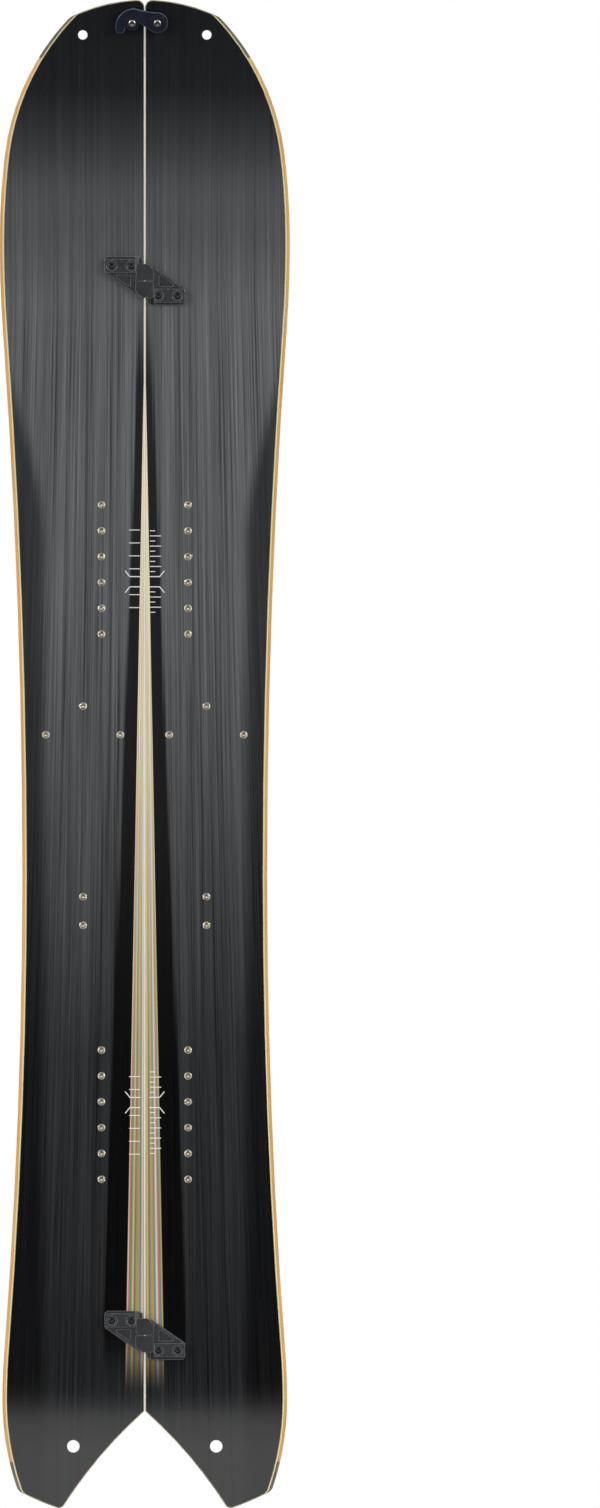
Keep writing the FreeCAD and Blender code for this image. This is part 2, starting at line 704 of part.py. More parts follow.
def bore(body, name, centres, radius_alias, top_height, depth):
    """A blind round hole down from a height."""
    sketch = add_sketch(body, name, "XZ_Plane", [], at_height(top_height))
    add_circles(sketch, centres, radius_alias)
    pocket = body.newObject("PartDesign::Pocket", name + "_pocket")
    pocket.Profile = sketch
    pocket.Length = depth
    return pocket


def make_inserts(label, centres):
    """Flanged threaded inserts, open at the topsheet and blind above the base."""
    flange_top = CORE_LOW + dim("insert_flange_thickness")
    body = disc_stack(label, centres, BOARD_PLACEMENT, [
        ("insert_flange_radius", CORE_LOW, flange_top),
        ("insert_radius", flange_top, BOARD_THICKNESS),
    ])
    bore(body, label + "_thread", centres, "insert_bore_radius", BOARD_THICKNESS,
         BOARD_THICKNESS - CORE_LOW - dim("insert_floor"))
    bore(body, label + "_mouth", centres, "insert_mouth_radius", BOARD_THICKNESS, dim("insert_mouth_depth"))


def make_hook_nuts(label, centres):
    """Flanged nuts under the topsheet that take the hook screws."""
    flange_top = CORE_LOW + dim("nut_flange_thickness")
    body = disc_stack(label, centres, BOARD_PLACEMENT, [
        ("nut_flange_radius", CORE_LOW, flange_top),
        ("nut_barrel_radius", flange_top, BOARD_THICKNESS),
    ])
    bore(body, label + "_thread", centres, "nut_bore_radius", BOARD_THICKNESS,
         BOARD_THICKNESS - CORE_LOW - dim("nut_floor"))


def make_screws(label, centres, placement, head_height, shank_depth, head_alias):
    """Pan-head screws whose heads rest at a height above the placement's plane."""
    head_top = head_height + dim("screw_head_height")
    body = disc_stack(label, centres, placement, [
        ("screw_shank_radius", -shank_depth, head_height),
        (head_alias, head_height, head_top),
    ])
    bore(body, label + "_socket", centres, "screw_socket_radius", head_top, dim("screw_socket_depth"))


# ---------------------------------------------------------------- split hooks

def hook_outlines():
    """Plan loops of the left hook's raised stages, from the plate up."""
    length = dim("hook_length_x")
    ledge = dim("hook_ledge_inner")
    groove = dim("hook_groove_outer")
    lip_low = -dim("hook_lip_end")
    lip_high = -dim("hook_lip_gap")
    reach = dim("hook_lip_reach")
    catch_inner = reach - dim("hook_catch_width")
    catch_low = lip_low + dim("hook_catch_setback")
    plate_radius = dim("hook_plate_radius")
    bar_radius = dim("hook_bar_radius")
    web_radius = dim("hook_web_radius")
    web_side = dim("hook_web_margin") - length
    lip_radius = dim("hook_lip_radius")
    catch_radius = dim("hook_catch_radius")
    plate = rounded_loop([
        (-length, dim("hook_plate_flank_z"), plate_radius),
        (-ledge, -dim("hook_plate_foot_z"), plate_radius),
        (-ledge, dim("hook_plate_shoulder_z"), 0.0),
        (-dim("hook_plate_shoulder_x"), dim("hook_top_z"), 0.0),
        (-length, dim("hook_top_z"), dim("hook_end_radius")),
    ])
    bar = rounded_loop([
        (-length, dim("hook_bar_low_z"), plate_radius),
        (-groove, dim("hook_bar_low_z"), bar_radius),
        (-groove, dim("hook_bar_high_z"), bar_radius),
        (-length, dim("hook_bar_high_z"), plate_radius),
    ])
    web = rounded_loop([
        (web_side, dim("hook_web_head_z"), web_radius),
        (web_side, dim("hook_plate_flank_z"), web_radius),
        (-ledge, -dim("hook_web_foot_z"), 2 * web_radius),
        (-ledge, lip_high, web_radius),
        (-groove, lip_high, 0.0),
        (-groove, dim("hook_web_head_z"), web_radius),
    ])
    lip = rounded_loop([
        (-groove, lip_low + dim("hook_lip_slant"), lip_radius / 2.0),
        (-ledge, lip_low, lip_radius / 2.0),
        (reach, lip_low, lip_radius),
        (reach, lip_high, lip_radius),
        (-groove, lip_high, lip_radius / 2.0),
    ])
    catch = rounded_loop([
        (catch_inner, catch_low, catch_radius),
        (reach, catch_low, catch_radius),
        (reach, -dim("hook_catch_end"), catch_radius),
        (catch_inner, -dim("hook_catch_end"), catch_radius),
    ])
    return plate, bar, web, lip, catch


def make_hook(label, placement):
    """The left hook of a pair. The right one is the same piece turned half a turn."""
    body = new_body(label, placement)
    plate, bar, web, lip, catch = hook_outlines()

    def raise_stage(stage, loop, length, height=0.0):
        sketch = add_sketch(body, f"{label}_{stage}", "XZ_Plane", [loop], at_height(height))
        add_pad(body, sketch, length)

    def sink(stage, loops, depth, height):
        sketch = add_sketch(body, f"{label}_{stage}", "XZ_Plane", loops, at_height(height))
        add_pocket(body, sketch, depth)

    raise_stage("plate", plate, "Dimensions.hook_plate_height")
    raise_stage("bar", bar, "Dimensions.hook_bar_height")
    raise_stage("web", web, "Dimensions.hook_web_height")
    raise_stage("lip", lip, "Dimensions.hook_lip_high - Dimensions.hook_lip_low", dim("hook_lip_low"))
    # the catch runs up into the lip, so that the two are one
    raise_stage("catch", catch, "Dimensions.hook_lip_high - Dimensions.hook_catch_low", dim("hook_catch_low"))
    groove = rectangle(-dim("hook_groove_outer"), -dim("hook_ledge_outer"),
                       0.0, dim("hook_top_z") + dim("hook_plate_radius"))
    sink("groove", [groove], "Dimensions.hook_plate_height - Dimensions.hook_groove_floor",
         dim("hook_plate_height"))
    recess = rounded_loop([
        (-dim("hook_recess_outer_x"), dim("hook_recess_head_z"), dim("hook_bar_radius")),
        (-dim("hook_recess_inner_x"), -dim("hook_recess_foot_z"), dim("hook_bar_radius")),
        (-dim("hook_recess_inner_x"), dim("hook_recess_head_z"), dim("hook_bar_radius")),
    ])
    sink("recess", [recess], "Dimensions.hook_web_recess", dim("hook_web_height"))
    for stage in ("dish", "head_recess"):
        sketch = add_sketch(body, f"{label}_{stage}", "XZ_Plane", [], at_height(dim("hook_bar_height")))
        add_circles(sketch, hook_screws(-1), f"hook_{stage}_radius")
        add_pocket(body, sketch, f"Dimensions.hook_{stage}_depth")
    drill(body, label + "_screw_holes", hook_screws(-1), "hook_screw_hole_radius")


# ---------------------------------------------------------------- nose clip

# Corners of the lever's outline, from the pivot's axis. The first five are the outer
# edge, from the hub over the thumb edge and down to the finger tab.
LEVER_THUMB_START = (-17.0, 12.4)
LEVER_THUMB_HEIGHT = 14.2
LEVER_SHOULDER = (-31.5, 12.2)
LEVER_FLANK_MIDDLE = (-38.9, 4.6)
LEVER_FLANK_LOW = (-41.2, -6.0)
LEVER_TAB_OUTER = (-39.6, -10.4)
LEVER_TAB_INNER = (-34.2, -10.6)
LEVER_WALL_DEPTH = 7.0
LEVER_HUB_TOP_DIRECTION = (-0.18, 1.0)
LEVER_HUB_FOOT_DIRECTION = (-0.62, -0.9)


def make_lever(label, placement):
    """The clip's lever: a hub on the pivot and a hook that passes round the nose side of the post."""
    post_x = -2 * dim("clip_offset_x")
    hub = (0.0, 0.0)
    hub_radius = dim("lever_hub_radius")
    pocket_radius = dim("post_pocket_radius")
    hub_top = polar(hub, hub_radius, LEVER_HUB_TOP_DIRECTION)
    hub_foot = polar(hub, hub_radius, LEVER_HUB_FOOT_DIRECTION)
    wall_low = (post_x - pocket_radius, -LEVER_WALL_DEPTH)
    wall_high = (post_x - pocket_radius, 0.0)
    throat = (post_x + pocket_radius, 0.0)
    loop = [
        ("arc", hub_foot, (hub_radius, 0.0), hub_top),
        line(hub_top, LEVER_THUMB_START),
        ("arc", LEVER_THUMB_START, (post_x, LEVER_THUMB_HEIGHT), LEVER_SHOULDER),
        ("arc", LEVER_SHOULDER, LEVER_FLANK_MIDDLE, LEVER_FLANK_LOW),
        line(LEVER_FLANK_LOW, LEVER_TAB_OUTER),
        line(LEVER_TAB_OUTER, LEVER_TAB_INNER),
        line(LEVER_TAB_INNER, wall_low),
        line(wall_low, wall_high),
        ("arc", wall_high, (post_x, pocket_radius), throat),
        line(throat, hub_foot),
    ]
    body = new_body(label, placement)
    blade = add_sketch(body, label + "_blade", "XZ_Plane", [loop], at_height(dim("clip_clearance")))
    add_pad(body, blade, "Dimensions.lever_thickness")
    drill(body, label + "_bore", [hub], "lever_bore_radius")


def make_clip():
    """Every piece of the nose clip."""
    pivot = clip_placement(dim("clip_offset_x"))
    catch = clip_placement(-dim("clip_offset_x"))
    seat = dim("seat_gap")
    lever_low = dim("clip_clearance")
    bush_top = lever_low + dim("lever_thickness") + dim("lever_end_play")
    washer_top = bush_top + dim("washer_thickness")
    centre = [(0.0, 0.0)]
    make_lever("clip_lever", pivot)
    bush = disc_stack("clip_pivot_bush", centre, pivot, [
        ("bush_collar_radius", seat, lever_low - dim("lever_end_play") / 2.0),
        ("bush_journal_radius", lever_low - dim("lever_end_play") / 2.0, bush_top),
    ])
    drill(bush, "clip_pivot_bush_hole", centre, "hook_screw_hole_radius")
    post = disc_stack("clip_catch_post", centre, catch, [("post_radius", seat, bush_top)])
    drill(post, "clip_catch_post_hole", centre, "hook_screw_hole_radius")
    depth = clip_base_depth()
    for name, place in (("pivot", pivot), ("catch", catch)):
        washer = disc_stack(f"clip_{name}_washer", centre, place, [("washer_radius", bush_top, washer_top)])
        drill(washer, f"clip_{name}_washer_hole", centre, "hook_screw_hole_radius")
        make_screws(f"clip_{name}_screw", centre, place, washer_top, dim("screw_reach"), "screw_head_radius")
        flange_low = -depth + dim("nut_recess")
        nut = disc_stack(f"clip_{name}_nut", centre, place, [
            ("nut_flange_radius", flange_low, flange_low + dim("nut_flange_thickness")),
            ("nut_barrel_radius", flange_low + dim("nut_flange_thickness"), -seat),
        ])
        drill(nut, f"clip_{name}_nut_thread", centre, "nut_bore_radius")


# ---------------------------------------------------------------- build

def make_hardware(name, side):
    """Inserts, hooks and their screws of one half."""
    make_inserts(name + "_front_binding_inserts", on_side(FRONT_BINDING, side))
    make_inserts(name + "_rear_binding_inserts", on_side(REAR_BINDING, side))
    make_inserts(name + "_touring_inserts", on_side(TOURING, side))
    make_inserts(name + "_heel_inserts", on_side(HEEL, side))
    for pair, pair_z in (("front", dim("front_hook_z")), ("rear", dim("rear_hook_z"))):
        turn = Rotation(Vector(0, 1, 0), 0 if side < 0 else 180)
        local = Placement(Vector(0, -BOARD_THICKNESS, pair_z), turn)
        placement = BOARD_PLACEMENT.multiply(local)
        make_hook(f"{name}_{pair}_hook", placement)
        seat = dim("hook_bar_height") - dim("hook_head_recess_depth")
        make_screws(f"{name}_{pair}_hook_screws", hook_screws(-1), placement, seat, dim("screw_reach"),
                    "hook_head_radius")
        nuts = [(x, pair_z + z) for x, z in hook_screws(side)]
        make_hook_nuts(f"{name}_{pair}_hook_nuts", nuts)


for half_name, half_side in (("left", -1), ("right", 1)):
    make_half(half_name, half_side)
    make_hardware(half_name, half_side)
make_clip()
doc.recompute()

for part in parts:
    for feature in part.Group:
        if "Invalid" in feature.State or "Error" in feature.State:
            raise RuntimeError(f"{part.Label}: {feature.Name} did not build")
    if part.Shape.isNull() or not part.Shape.isValid():
        raise RuntimeError(f"{part.Label}: no valid shape")
    part.Shape.exportStep(f"parts/{part.Label}.step")
    box = part.Shape.BoundBox
    print(f"{part.Label:32s} solids {len(part.Shape.Solids)} volume {part.Shape.Volume:12.1f}")
    print(f"  x {box.XMin:8.1f} {box.XMax:8.1f} y {box.YMin:7.2f} {box.YMax:7.2f} "
          f"z {box.ZMin:8.1f} {box.ZMax:8.1f}")
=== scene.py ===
import json
import math

import bmesh
import bpy
from mathutils import Matrix, Vector

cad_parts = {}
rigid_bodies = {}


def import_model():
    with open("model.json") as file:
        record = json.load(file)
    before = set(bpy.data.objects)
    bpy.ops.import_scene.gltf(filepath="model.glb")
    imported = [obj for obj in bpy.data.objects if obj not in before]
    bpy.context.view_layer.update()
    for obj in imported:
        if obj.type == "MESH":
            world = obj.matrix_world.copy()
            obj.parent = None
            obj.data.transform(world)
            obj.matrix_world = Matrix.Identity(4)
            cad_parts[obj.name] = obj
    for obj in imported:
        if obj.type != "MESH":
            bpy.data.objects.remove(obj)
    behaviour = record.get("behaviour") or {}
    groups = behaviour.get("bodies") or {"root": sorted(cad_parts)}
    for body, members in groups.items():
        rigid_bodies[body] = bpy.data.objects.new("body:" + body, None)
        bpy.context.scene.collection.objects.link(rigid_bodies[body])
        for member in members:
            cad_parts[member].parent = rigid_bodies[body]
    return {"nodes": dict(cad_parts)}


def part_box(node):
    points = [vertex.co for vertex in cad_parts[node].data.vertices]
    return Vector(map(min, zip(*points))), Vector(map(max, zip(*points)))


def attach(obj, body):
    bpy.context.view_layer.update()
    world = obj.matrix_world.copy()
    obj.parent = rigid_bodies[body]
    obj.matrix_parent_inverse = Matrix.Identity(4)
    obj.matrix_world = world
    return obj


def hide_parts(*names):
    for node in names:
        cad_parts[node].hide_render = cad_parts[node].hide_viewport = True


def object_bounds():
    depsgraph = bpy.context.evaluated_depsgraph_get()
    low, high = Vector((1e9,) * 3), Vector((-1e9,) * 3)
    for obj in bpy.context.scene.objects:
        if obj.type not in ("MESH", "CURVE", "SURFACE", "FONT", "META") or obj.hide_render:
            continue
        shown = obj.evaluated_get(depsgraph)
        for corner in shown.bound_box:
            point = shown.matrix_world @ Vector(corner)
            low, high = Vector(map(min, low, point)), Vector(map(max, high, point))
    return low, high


# Looks of a splitboard: a snowboard that parts lengthwise into two ski halves. The
# row frame is in metres: X across (right half at +X), Z along the board with the nose
# up, and the topsheet looks towards -Y. The origin lies between the nose holes. The
# print is placed by shares of the board's length and in millimetres from the seam,
# the stances and the origin.

for leftover in list(bpy.data.objects):
    bpy.data.objects.remove(leftover)
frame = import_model()
cad_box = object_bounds()
nodes = frame["nodes"]

MM = 0.001
SIDES = {"left": -1, "right": 1}

# the board
BOARD_TOP = cad_box[1].z
BOARD_FOOT = cad_box[0].z
BOARD_LENGTH = BOARD_TOP - BOARD_FOOT
FRONT_STANCE = sum(v.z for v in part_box("right_front_binding_inserts")) / 2
REAR_STANCE = sum(v.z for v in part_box("right_rear_binding_inserts")) / 2

# the nose clip, which leans with the raised nose, and the screws
CLIP_TILT = math.radians(14.03)
CLIP_NORMAL = Vector((0, -math.cos(CLIP_TILT), -math.sin(CLIP_TILT)))
CLIP_UP = Vector((0, -math.sin(CLIP_TILT), math.cos(CLIP_TILT)))
CLIP_HEAD_RADIUS = 3.8 * MM
CLIP_HEAD_TOP = 12.55 * MM
CLIP_SCREW_REACH = 15.5 * MM
HOOK_HEAD_RADIUS = 3.4 * MM
SCREW_HEAD_HEIGHT = 2.4 * MM


def along(share):
    """Z at a share of the board's length, counted from the nose."""
    return BOARD_TOP - share * BOARD_LENGTH


# ---------------------------------------------------------------- material graphs

def srgb(red, green, blue):
    """A colour given in 0-255 display values, as the linear values that shaders use."""
    def linear(value):
        share = value / 255
        return share / 12.92 if share <= 0.04045 else ((share + 0.055) / 1.055) ** 2.4
    return (linear(red), linear(green), linear(blue), 1.0)


class Graph:
    """A material's node tree: one Principled shader, object coordinates, and short calls for its nodes."""

    def __init__(self, name):
        self.material = bpy.data.materials.new(name)
        self.material.use_nodes = True
        self.tree = self.material.node_tree
        self.tree.nodes.clear()
        self.shader = self.node("ShaderNodeBsdfPrincipled")
        output = self.node("ShaderNodeOutputMaterial")
        self.tree.links.new(self.shader.outputs[0], output.inputs["Surface"])
        self.place = self.node("ShaderNodeTexCoord").outputs["Object"]
        parts = self.node("ShaderNodeSeparateXYZ")
        self.put(parts.inputs[0], self.place)
        self.x, self.y, self.z = parts.outputs

    def node(self, kind):
        return self.tree.nodes.new(kind)

    def put(self, socket, value):
        """Links a socket, or sets its constant."""
        if isinstance(value, bpy.types.NodeSocket):
            self.tree.links.new(value, socket)
        else:
            socket.default_value = value

    def set(self, **values):
        """Shader inputs by name, with _ for a space."""
        for name, value in values.items():
            self.put(self.shader.inputs[name.replace("_", " ")], value)

    def math(self, operation, first, second=0.0):
        node = self.node("ShaderNodeMath")
        node.operation = operation
        self.put(node.inputs[0], first)
        self.put(node.inputs[1], second)
        return node.outputs[0]

    def add(self, first, second):
        return self.math("ADD", first, second)

    def subtract(self, first, second):
        return self.math("SUBTRACT", first, second)

    def multiply(self, first, second):
        return self.math("MULTIPLY", first, second)

    def span(self, value, low, high, to_low=0.0, to_high=1.0, smooth=True):
        """value from low..high to to_low..to_high, held outside."""
        node = self.node("ShaderNodeMapRange")
        node.interpolation_type = "SMOOTHSTEP" if smooth else "LINEAR"
        for socket, entry in zip(node.inputs, (value, low, high, to_low, to_high)):
            self.put(socket, entry)
        return node.outputs[0]

    def inside(self, value, low, high, soft):
        """1 between low and high, falling to 0 over soft."""
        rise = self.span(value, low - soft, low + soft)
        fall = self.span(value, high - soft, high + soft, 1.0, 0.0)
        return self.multiply(rise, fall)

    def noise(self, scale, detail=2.0, roughness=0.5, place=None):
        """Noise over object coordinates, or another place, times a scale for each axis."""
        stretch = self.node("ShaderNodeVectorMath")
        stretch.operation = "MULTIPLY"
        self.put(stretch.inputs[0], place or self.place)
        stretch.inputs[1].default_value = scale
        node = self.node("ShaderNodeTexNoise")
        self.put(node.inputs["Vector"], stretch.outputs[0])
        node.inputs["Scale"].default_value = 1.0
        node.inputs["Detail"].default_value = detail
        node.inputs["Roughness"].default_value = roughness
        return node.outputs[0]

    def mix(self, factor, first, second, blend="MIX"):
        node = self.node("ShaderNodeMix")
        node.data_type = "RGBA"
        node.blend_type = blend
        node.clamp_factor = True
        self.put(node.inputs[0], factor)
        self.put(node.inputs[6], first)
        self.put(node.inputs[7], second)
        return node.outputs[2]

    def ramp(self, value, stops, interpolation="LINEAR"):
        """Colour by value, from (position, colour) stops."""
        node = self.node("ShaderNodeValToRGB")
        node.color_ramp.interpolation = interpolation
        elements = node.color_ramp.elements
        while len(elements) < len(stops):
            elements.new(1.0)
        for element, (position, colour) in zip(elements, stops):
            element.position = position
            element.color = colour
        self.put(node.inputs[0], value)
        return node.outputs[0]

    def point(self, x, y, z):
        """A place from three numbers."""
        node = self.node("ShaderNodeCombineXYZ")
        for socket, value in zip(node.inputs, (x, y, z)):
            self.put(socket, value)
        return node.outputs[0]

    def grey(self, value):
        """A number as a grey colour."""
        node = self.node("ShaderNodeCombineColor")
        for socket in node.inputs:
            self.put(socket, value)
        return node.outputs[0]

    def bump(self, height, strength, distance):
        node = self.node("ShaderNodeBump")
        node.inputs["Strength"].default_value = strength
        node.inputs["Distance"].default_value = distance
        self.put(node.inputs["Height"], height)
        self.set(Normal=node.outputs[0])

    def stroke(self, x, z, start, end, width):
        """1 on a straight stroke from start to end, 0 off it."""
        run = (end[0] - start[0], end[1] - start[1])
        length_squared = run[0] ** 2 + run[1] ** 2
        from_x = self.subtract(x, start[0])
        from_z = self.subtract(z, start[1])
        dot = self.add(self.multiply(from_x, run[0]), self.multiply(from_z, run[1]))
        share = self.span(dot, 0.0, length_squared, smooth=False)
        off_x = self.subtract(from_x, self.multiply(share, run[0]))
        off_z = self.subtract(from_z, self.multiply(share, run[1]))
        square = self.add(self.multiply(off_x, off_x), self.multiply(off_z, off_z))
        return self.span(self.math("SQRT", square), width * 0.5, width * 0.7, 1.0, 0.0)


# ---------------------------------------------------------------- printed surfaces

STRIPE_COLOURS = [
    (240, 230, 200),  # cream
    (230, 210, 110),  # straw
    (220, 160, 80),  # amber
    (210, 110, 100),  # coral
    (150, 90, 130),  # plum
    (70, 140, 170),  # blue
    (80, 150, 140),  # teal
    (150, 180, 100),  # leaf green
]
WEDGE_STRIPES = 20
BASE_STRIPES = 24
BASE_SHADE = 0.75
MARK_COLOUR = srgb(232, 232, 226)
TICK_MIDDLE = 0.5
TICK_TURNS = 40
BLOCK_X = 70 * MM
BLOCK_TOP_Z = -163 * MM
BLOCK_PITCH = 92 * MM
BLOCK_HALF_WIDTH = 28 * MM
BLOCK_HALF_HEIGHT = 38 * MM


def stripe_stops(count, stride, shade=1.0):
    """Evenly spaced colour stops that go round the palette in steps of stride, made darker by shade."""
    stops = []
    for index in range(count):
        colour = STRIPE_COLOURS[index * stride % len(STRIPE_COLOURS)]
        stops.append((index / (count - 1), srgb(*(channel * shade for channel in colour))))
    return stops


def stance_ticks(g, centre, outward):
    """Two scales beside the seam, in half inches on the left and in 5 mm steps on the right.

    outward is +1 where the scale runs further towards the nose, -1 towards the tail.
    """
    offset = g.multiply(g.subtract(g.z, centre), outward)
    reach = g.inside(offset, -32.5 * MM, 51.5 * MM, 0.2 * MM)
    clear = g.span(g.math("ABSOLUTE", offset), 8.4 * MM, 8.8 * MM)

    def ticks(pitch, shift, start_x, end_x):
        # whole turns keep the phase positive, and a tick lies at the middle of each
        turns = g.math("DIVIDE", g.add(offset, shift), pitch)
        phase = g.math("FRACT", g.add(turns, TICK_TURNS + TICK_MIDDLE))
        nearness = g.math("ABSOLUTE", g.subtract(phase, TICK_MIDDLE))
        line = g.span(nearness, 0.3 * MM / pitch, 0.5 * MM / pitch, 1.0, 0.0)
        return g.multiply(line, g.inside(g.x, start_x, end_x, 0.2 * MM))

    left = ticks(12.7 * MM, 0.0, -15.4 * MM, -4.8 * MM)
    right_long = ticks(10.0 * MM, 5.0 * MM, 5.0 * MM, 16.0 * MM)
    right_short = ticks(5.0 * MM, 0.0, 5.0 * MM, 10.2 * MM)
    both = g.math("MAXIMUM", left, g.math("MAXIMUM", right_long, right_short))
    return g.multiply(g.multiply(both, reach), clear)


def stance_bracket(g, across, centre):
    """The mark of the middle stance: a bracket that opens outward, mirrored over the seam."""
    marks = None
    for side in (-1, 1):
        inner_z = centre + side * 5.0 * MM
        outer_z = centre + side * 10.4 * MM
        level = g.stroke(across, g.z, (4.8 * MM, inner_z), (14.6 * MM, inner_z), 0.8 * MM)
        slope = g.stroke(across, g.z, (14.6 * MM, inner_z), (19.0 * MM, outer_z), 0.8 * MM)
        pair = g.math("MAXIMUM", level, slope)
        marks = pair if marks is None else g.math("MAXIMUM", marks, pair)
    return marks


def topsheet_material():
    """Charcoal print with fine lengthwise streaks, black flares and a striped wedge on the seam, toned along
    the board partly by the print and partly by painted sheen and shade.
    """
    g = Graph("topsheet_print")
    across = g.math("ABSOLUTE", g.x)
    share = g.span(g.z, BOARD_TOP, BOARD_FOOT, smooth=False)
    fanned = g.point(g.multiply(g.x, g.span(share, 0.2, 1.0, 1.0, 0.72, smooth=False)), 0.0, g.z)
    fine = g.noise((820, 0, 4), 3.0, 0.65, fanned)
    middle = g.noise((270, 0, 1.6), 2.0, 0.5, fanned)
    broad = g.noise((60, 0, 0.8), 1.0, 0.5, fanned)
    streak = g.add(g.multiply(fine, 0.6), g.add(g.multiply(middle, 0.4), g.multiply(broad, 0.2)))
    streak = g.span(streak, 0.44, 0.78, 0.15, 1.9, smooth=False)
    # tone along the board: partly the print's fade towards the tail, partly painted shade at the dark nose
    # end and painted sheen over the upper half
    ground = g.ramp(share, [
        (0.0, srgb(26, 27, 30)), (0.06, srgb(30, 32, 34)), (0.2, srgb(84, 86, 88)), (0.4, srgb(80, 82, 84)),
        (0.7, srgb(38, 40, 42)), (1.0, srgb(20, 21, 23)),
    ])
    calm = g.span(share, 0.1, 0.26, 0.35, 0.85)
    streak = g.add(g.multiply(g.subtract(streak, 1.0), calm), 1.0)
    charcoal = g.mix(1.0, ground, g.grey(streak), "MULTIPLY")
    # the black ink is painted lighter towards the nose: painted sheen
    black = g.mix(g.span(share, 0.1, 0.8), srgb(26, 27, 29), srgb(2, 2, 3))

    # black flares beside the wedge, with streaky edges
    wander = g.multiply(g.subtract(middle, 0.5), 9 * MM)
    flare = g.span(g.z, along(0.19), along(0.87), 4 * MM, 40 * MM, smooth=False)
    flare_edge = g.subtract(g.add(across, wander), flare)
    in_flare = g.span(flare_edge, -1.5 * MM, 3.0 * MM, 1.0, 0.0)
    in_flare = g.multiply(in_flare, g.span(g.z, along(0.17), along(0.26)))
    in_flare = g.multiply(in_flare, g.span(g.z, along(0.92), along(0.88)))

    # plain margin along the outer edge
    margin_start = g.span(g.z, along(0.2), along(0.36), 140 * MM, 97 * MM)
    margin_edge = g.subtract(g.add(across, g.multiply(wander, 1.6)), margin_start)
    in_margin = g.span(margin_edge, -6 * MM, 10 * MM)
    in_margin = g.multiply(in_margin, 0.8)
    colour = g.mix(g.math("MAXIMUM", in_flare, in_margin), charcoal, black)

    # striped wedge that opens from the nose end
    wedge_top = along(0.214)
    width = g.multiply(g.subtract(wedge_top, g.z), 0.0183)
    width = g.math("MAXIMUM", width, 0.01 * MM)
    wedge_place = g.math("DIVIDE", g.x, width)
    stripe = g.ramp(g.span(wedge_place, -1.0, 1.0, smooth=False), stripe_stops(WEDGE_STRIPES, 3))
    washed = g.mix(g.span(g.z, along(0.82), along(0.3), 0.02, 0.62), stripe, srgb(250, 240, 208))
    # fine grain, and darker towards the tail as the ground tone is: partly the print's fade, partly painted
    # shade
    grain = g.multiply(g.span(fine, 0.3, 0.7, 0.75, 1.05, smooth=False), g.span(share, 0.3, 0.8, 1.0, 0.72))
    washed = g.mix(1.0, washed, g.grey(grain), "MULTIPLY")
    in_wedge = g.span(g.math("ABSOLUTE", wedge_place), 0.97, 1.03, 1.0, 0.0)
    in_wedge = g.multiply(in_wedge, g.span(g.z, along(0.925), along(0.87)))
    colour = g.mix(in_wedge, colour, washed)

    # binding marks
    marks = None
    for stance, outward in ((FRONT_STANCE, 1), (REAR_STANCE, -1)):
        centre = stance - outward * 12 * MM
        pair = g.math("MAXIMUM", stance_ticks(g, centre, outward), stance_bracket(g, across, centre))
        marks = pair if marks is None else g.math("MAXIMUM", marks, pair)
    colour = g.mix(g.multiply(marks, 0.8), colour, MARK_COLOUR)

    # wear: faint scuffs that run along the board
    scuff = g.span(g.noise((420, 0, 34), 3.0, 0.7), 0.66, 0.8)
    colour = g.mix(g.multiply(scuff, 0.12), colour, srgb(120, 122, 126))
    dull = g.multiply(g.span(share, 0.45, 0.75), g.span(share, 0.95, 0.91))
    g.set(Base_Color=colour, Roughness=g.span(fine, 0.2, 0.8, 0.14, 0.22), Coat_Roughness=0.1)
    g.set(Specular_IOR_Level=g.span(dull, 0.0, 1.0, 0.5, 0.2), Coat_Weight=g.span(dull, 0.0, 1.0, 0.15, 0.0))
    g.bump(g.add(fine, g.multiply(g.noise((2600, 2600, 2600)), 0.15)), 0.1, 0.03 * MM)
    return g.material


def base_shapes(g):
    """Three rounded blocks in a column on one half of the base."""
    found = None
    for step in range(3):
        dx = g.math("DIVIDE", g.subtract(g.x, BLOCK_X), BLOCK_HALF_WIDTH)
        dz = g.math("DIVIDE", g.subtract(g.z, BLOCK_TOP_Z - step * BLOCK_PITCH), BLOCK_HALF_HEIGHT)
        power = g.add(*(g.math("POWER", g.math("ABSOLUTE", share), 5.0) for share in (dx, dz)))
        block = g.span(power, 0.94, 1.06, 1.0, 0.0)
        found = block if found is None else g.math("MAXIMUM", found, block)
    return found


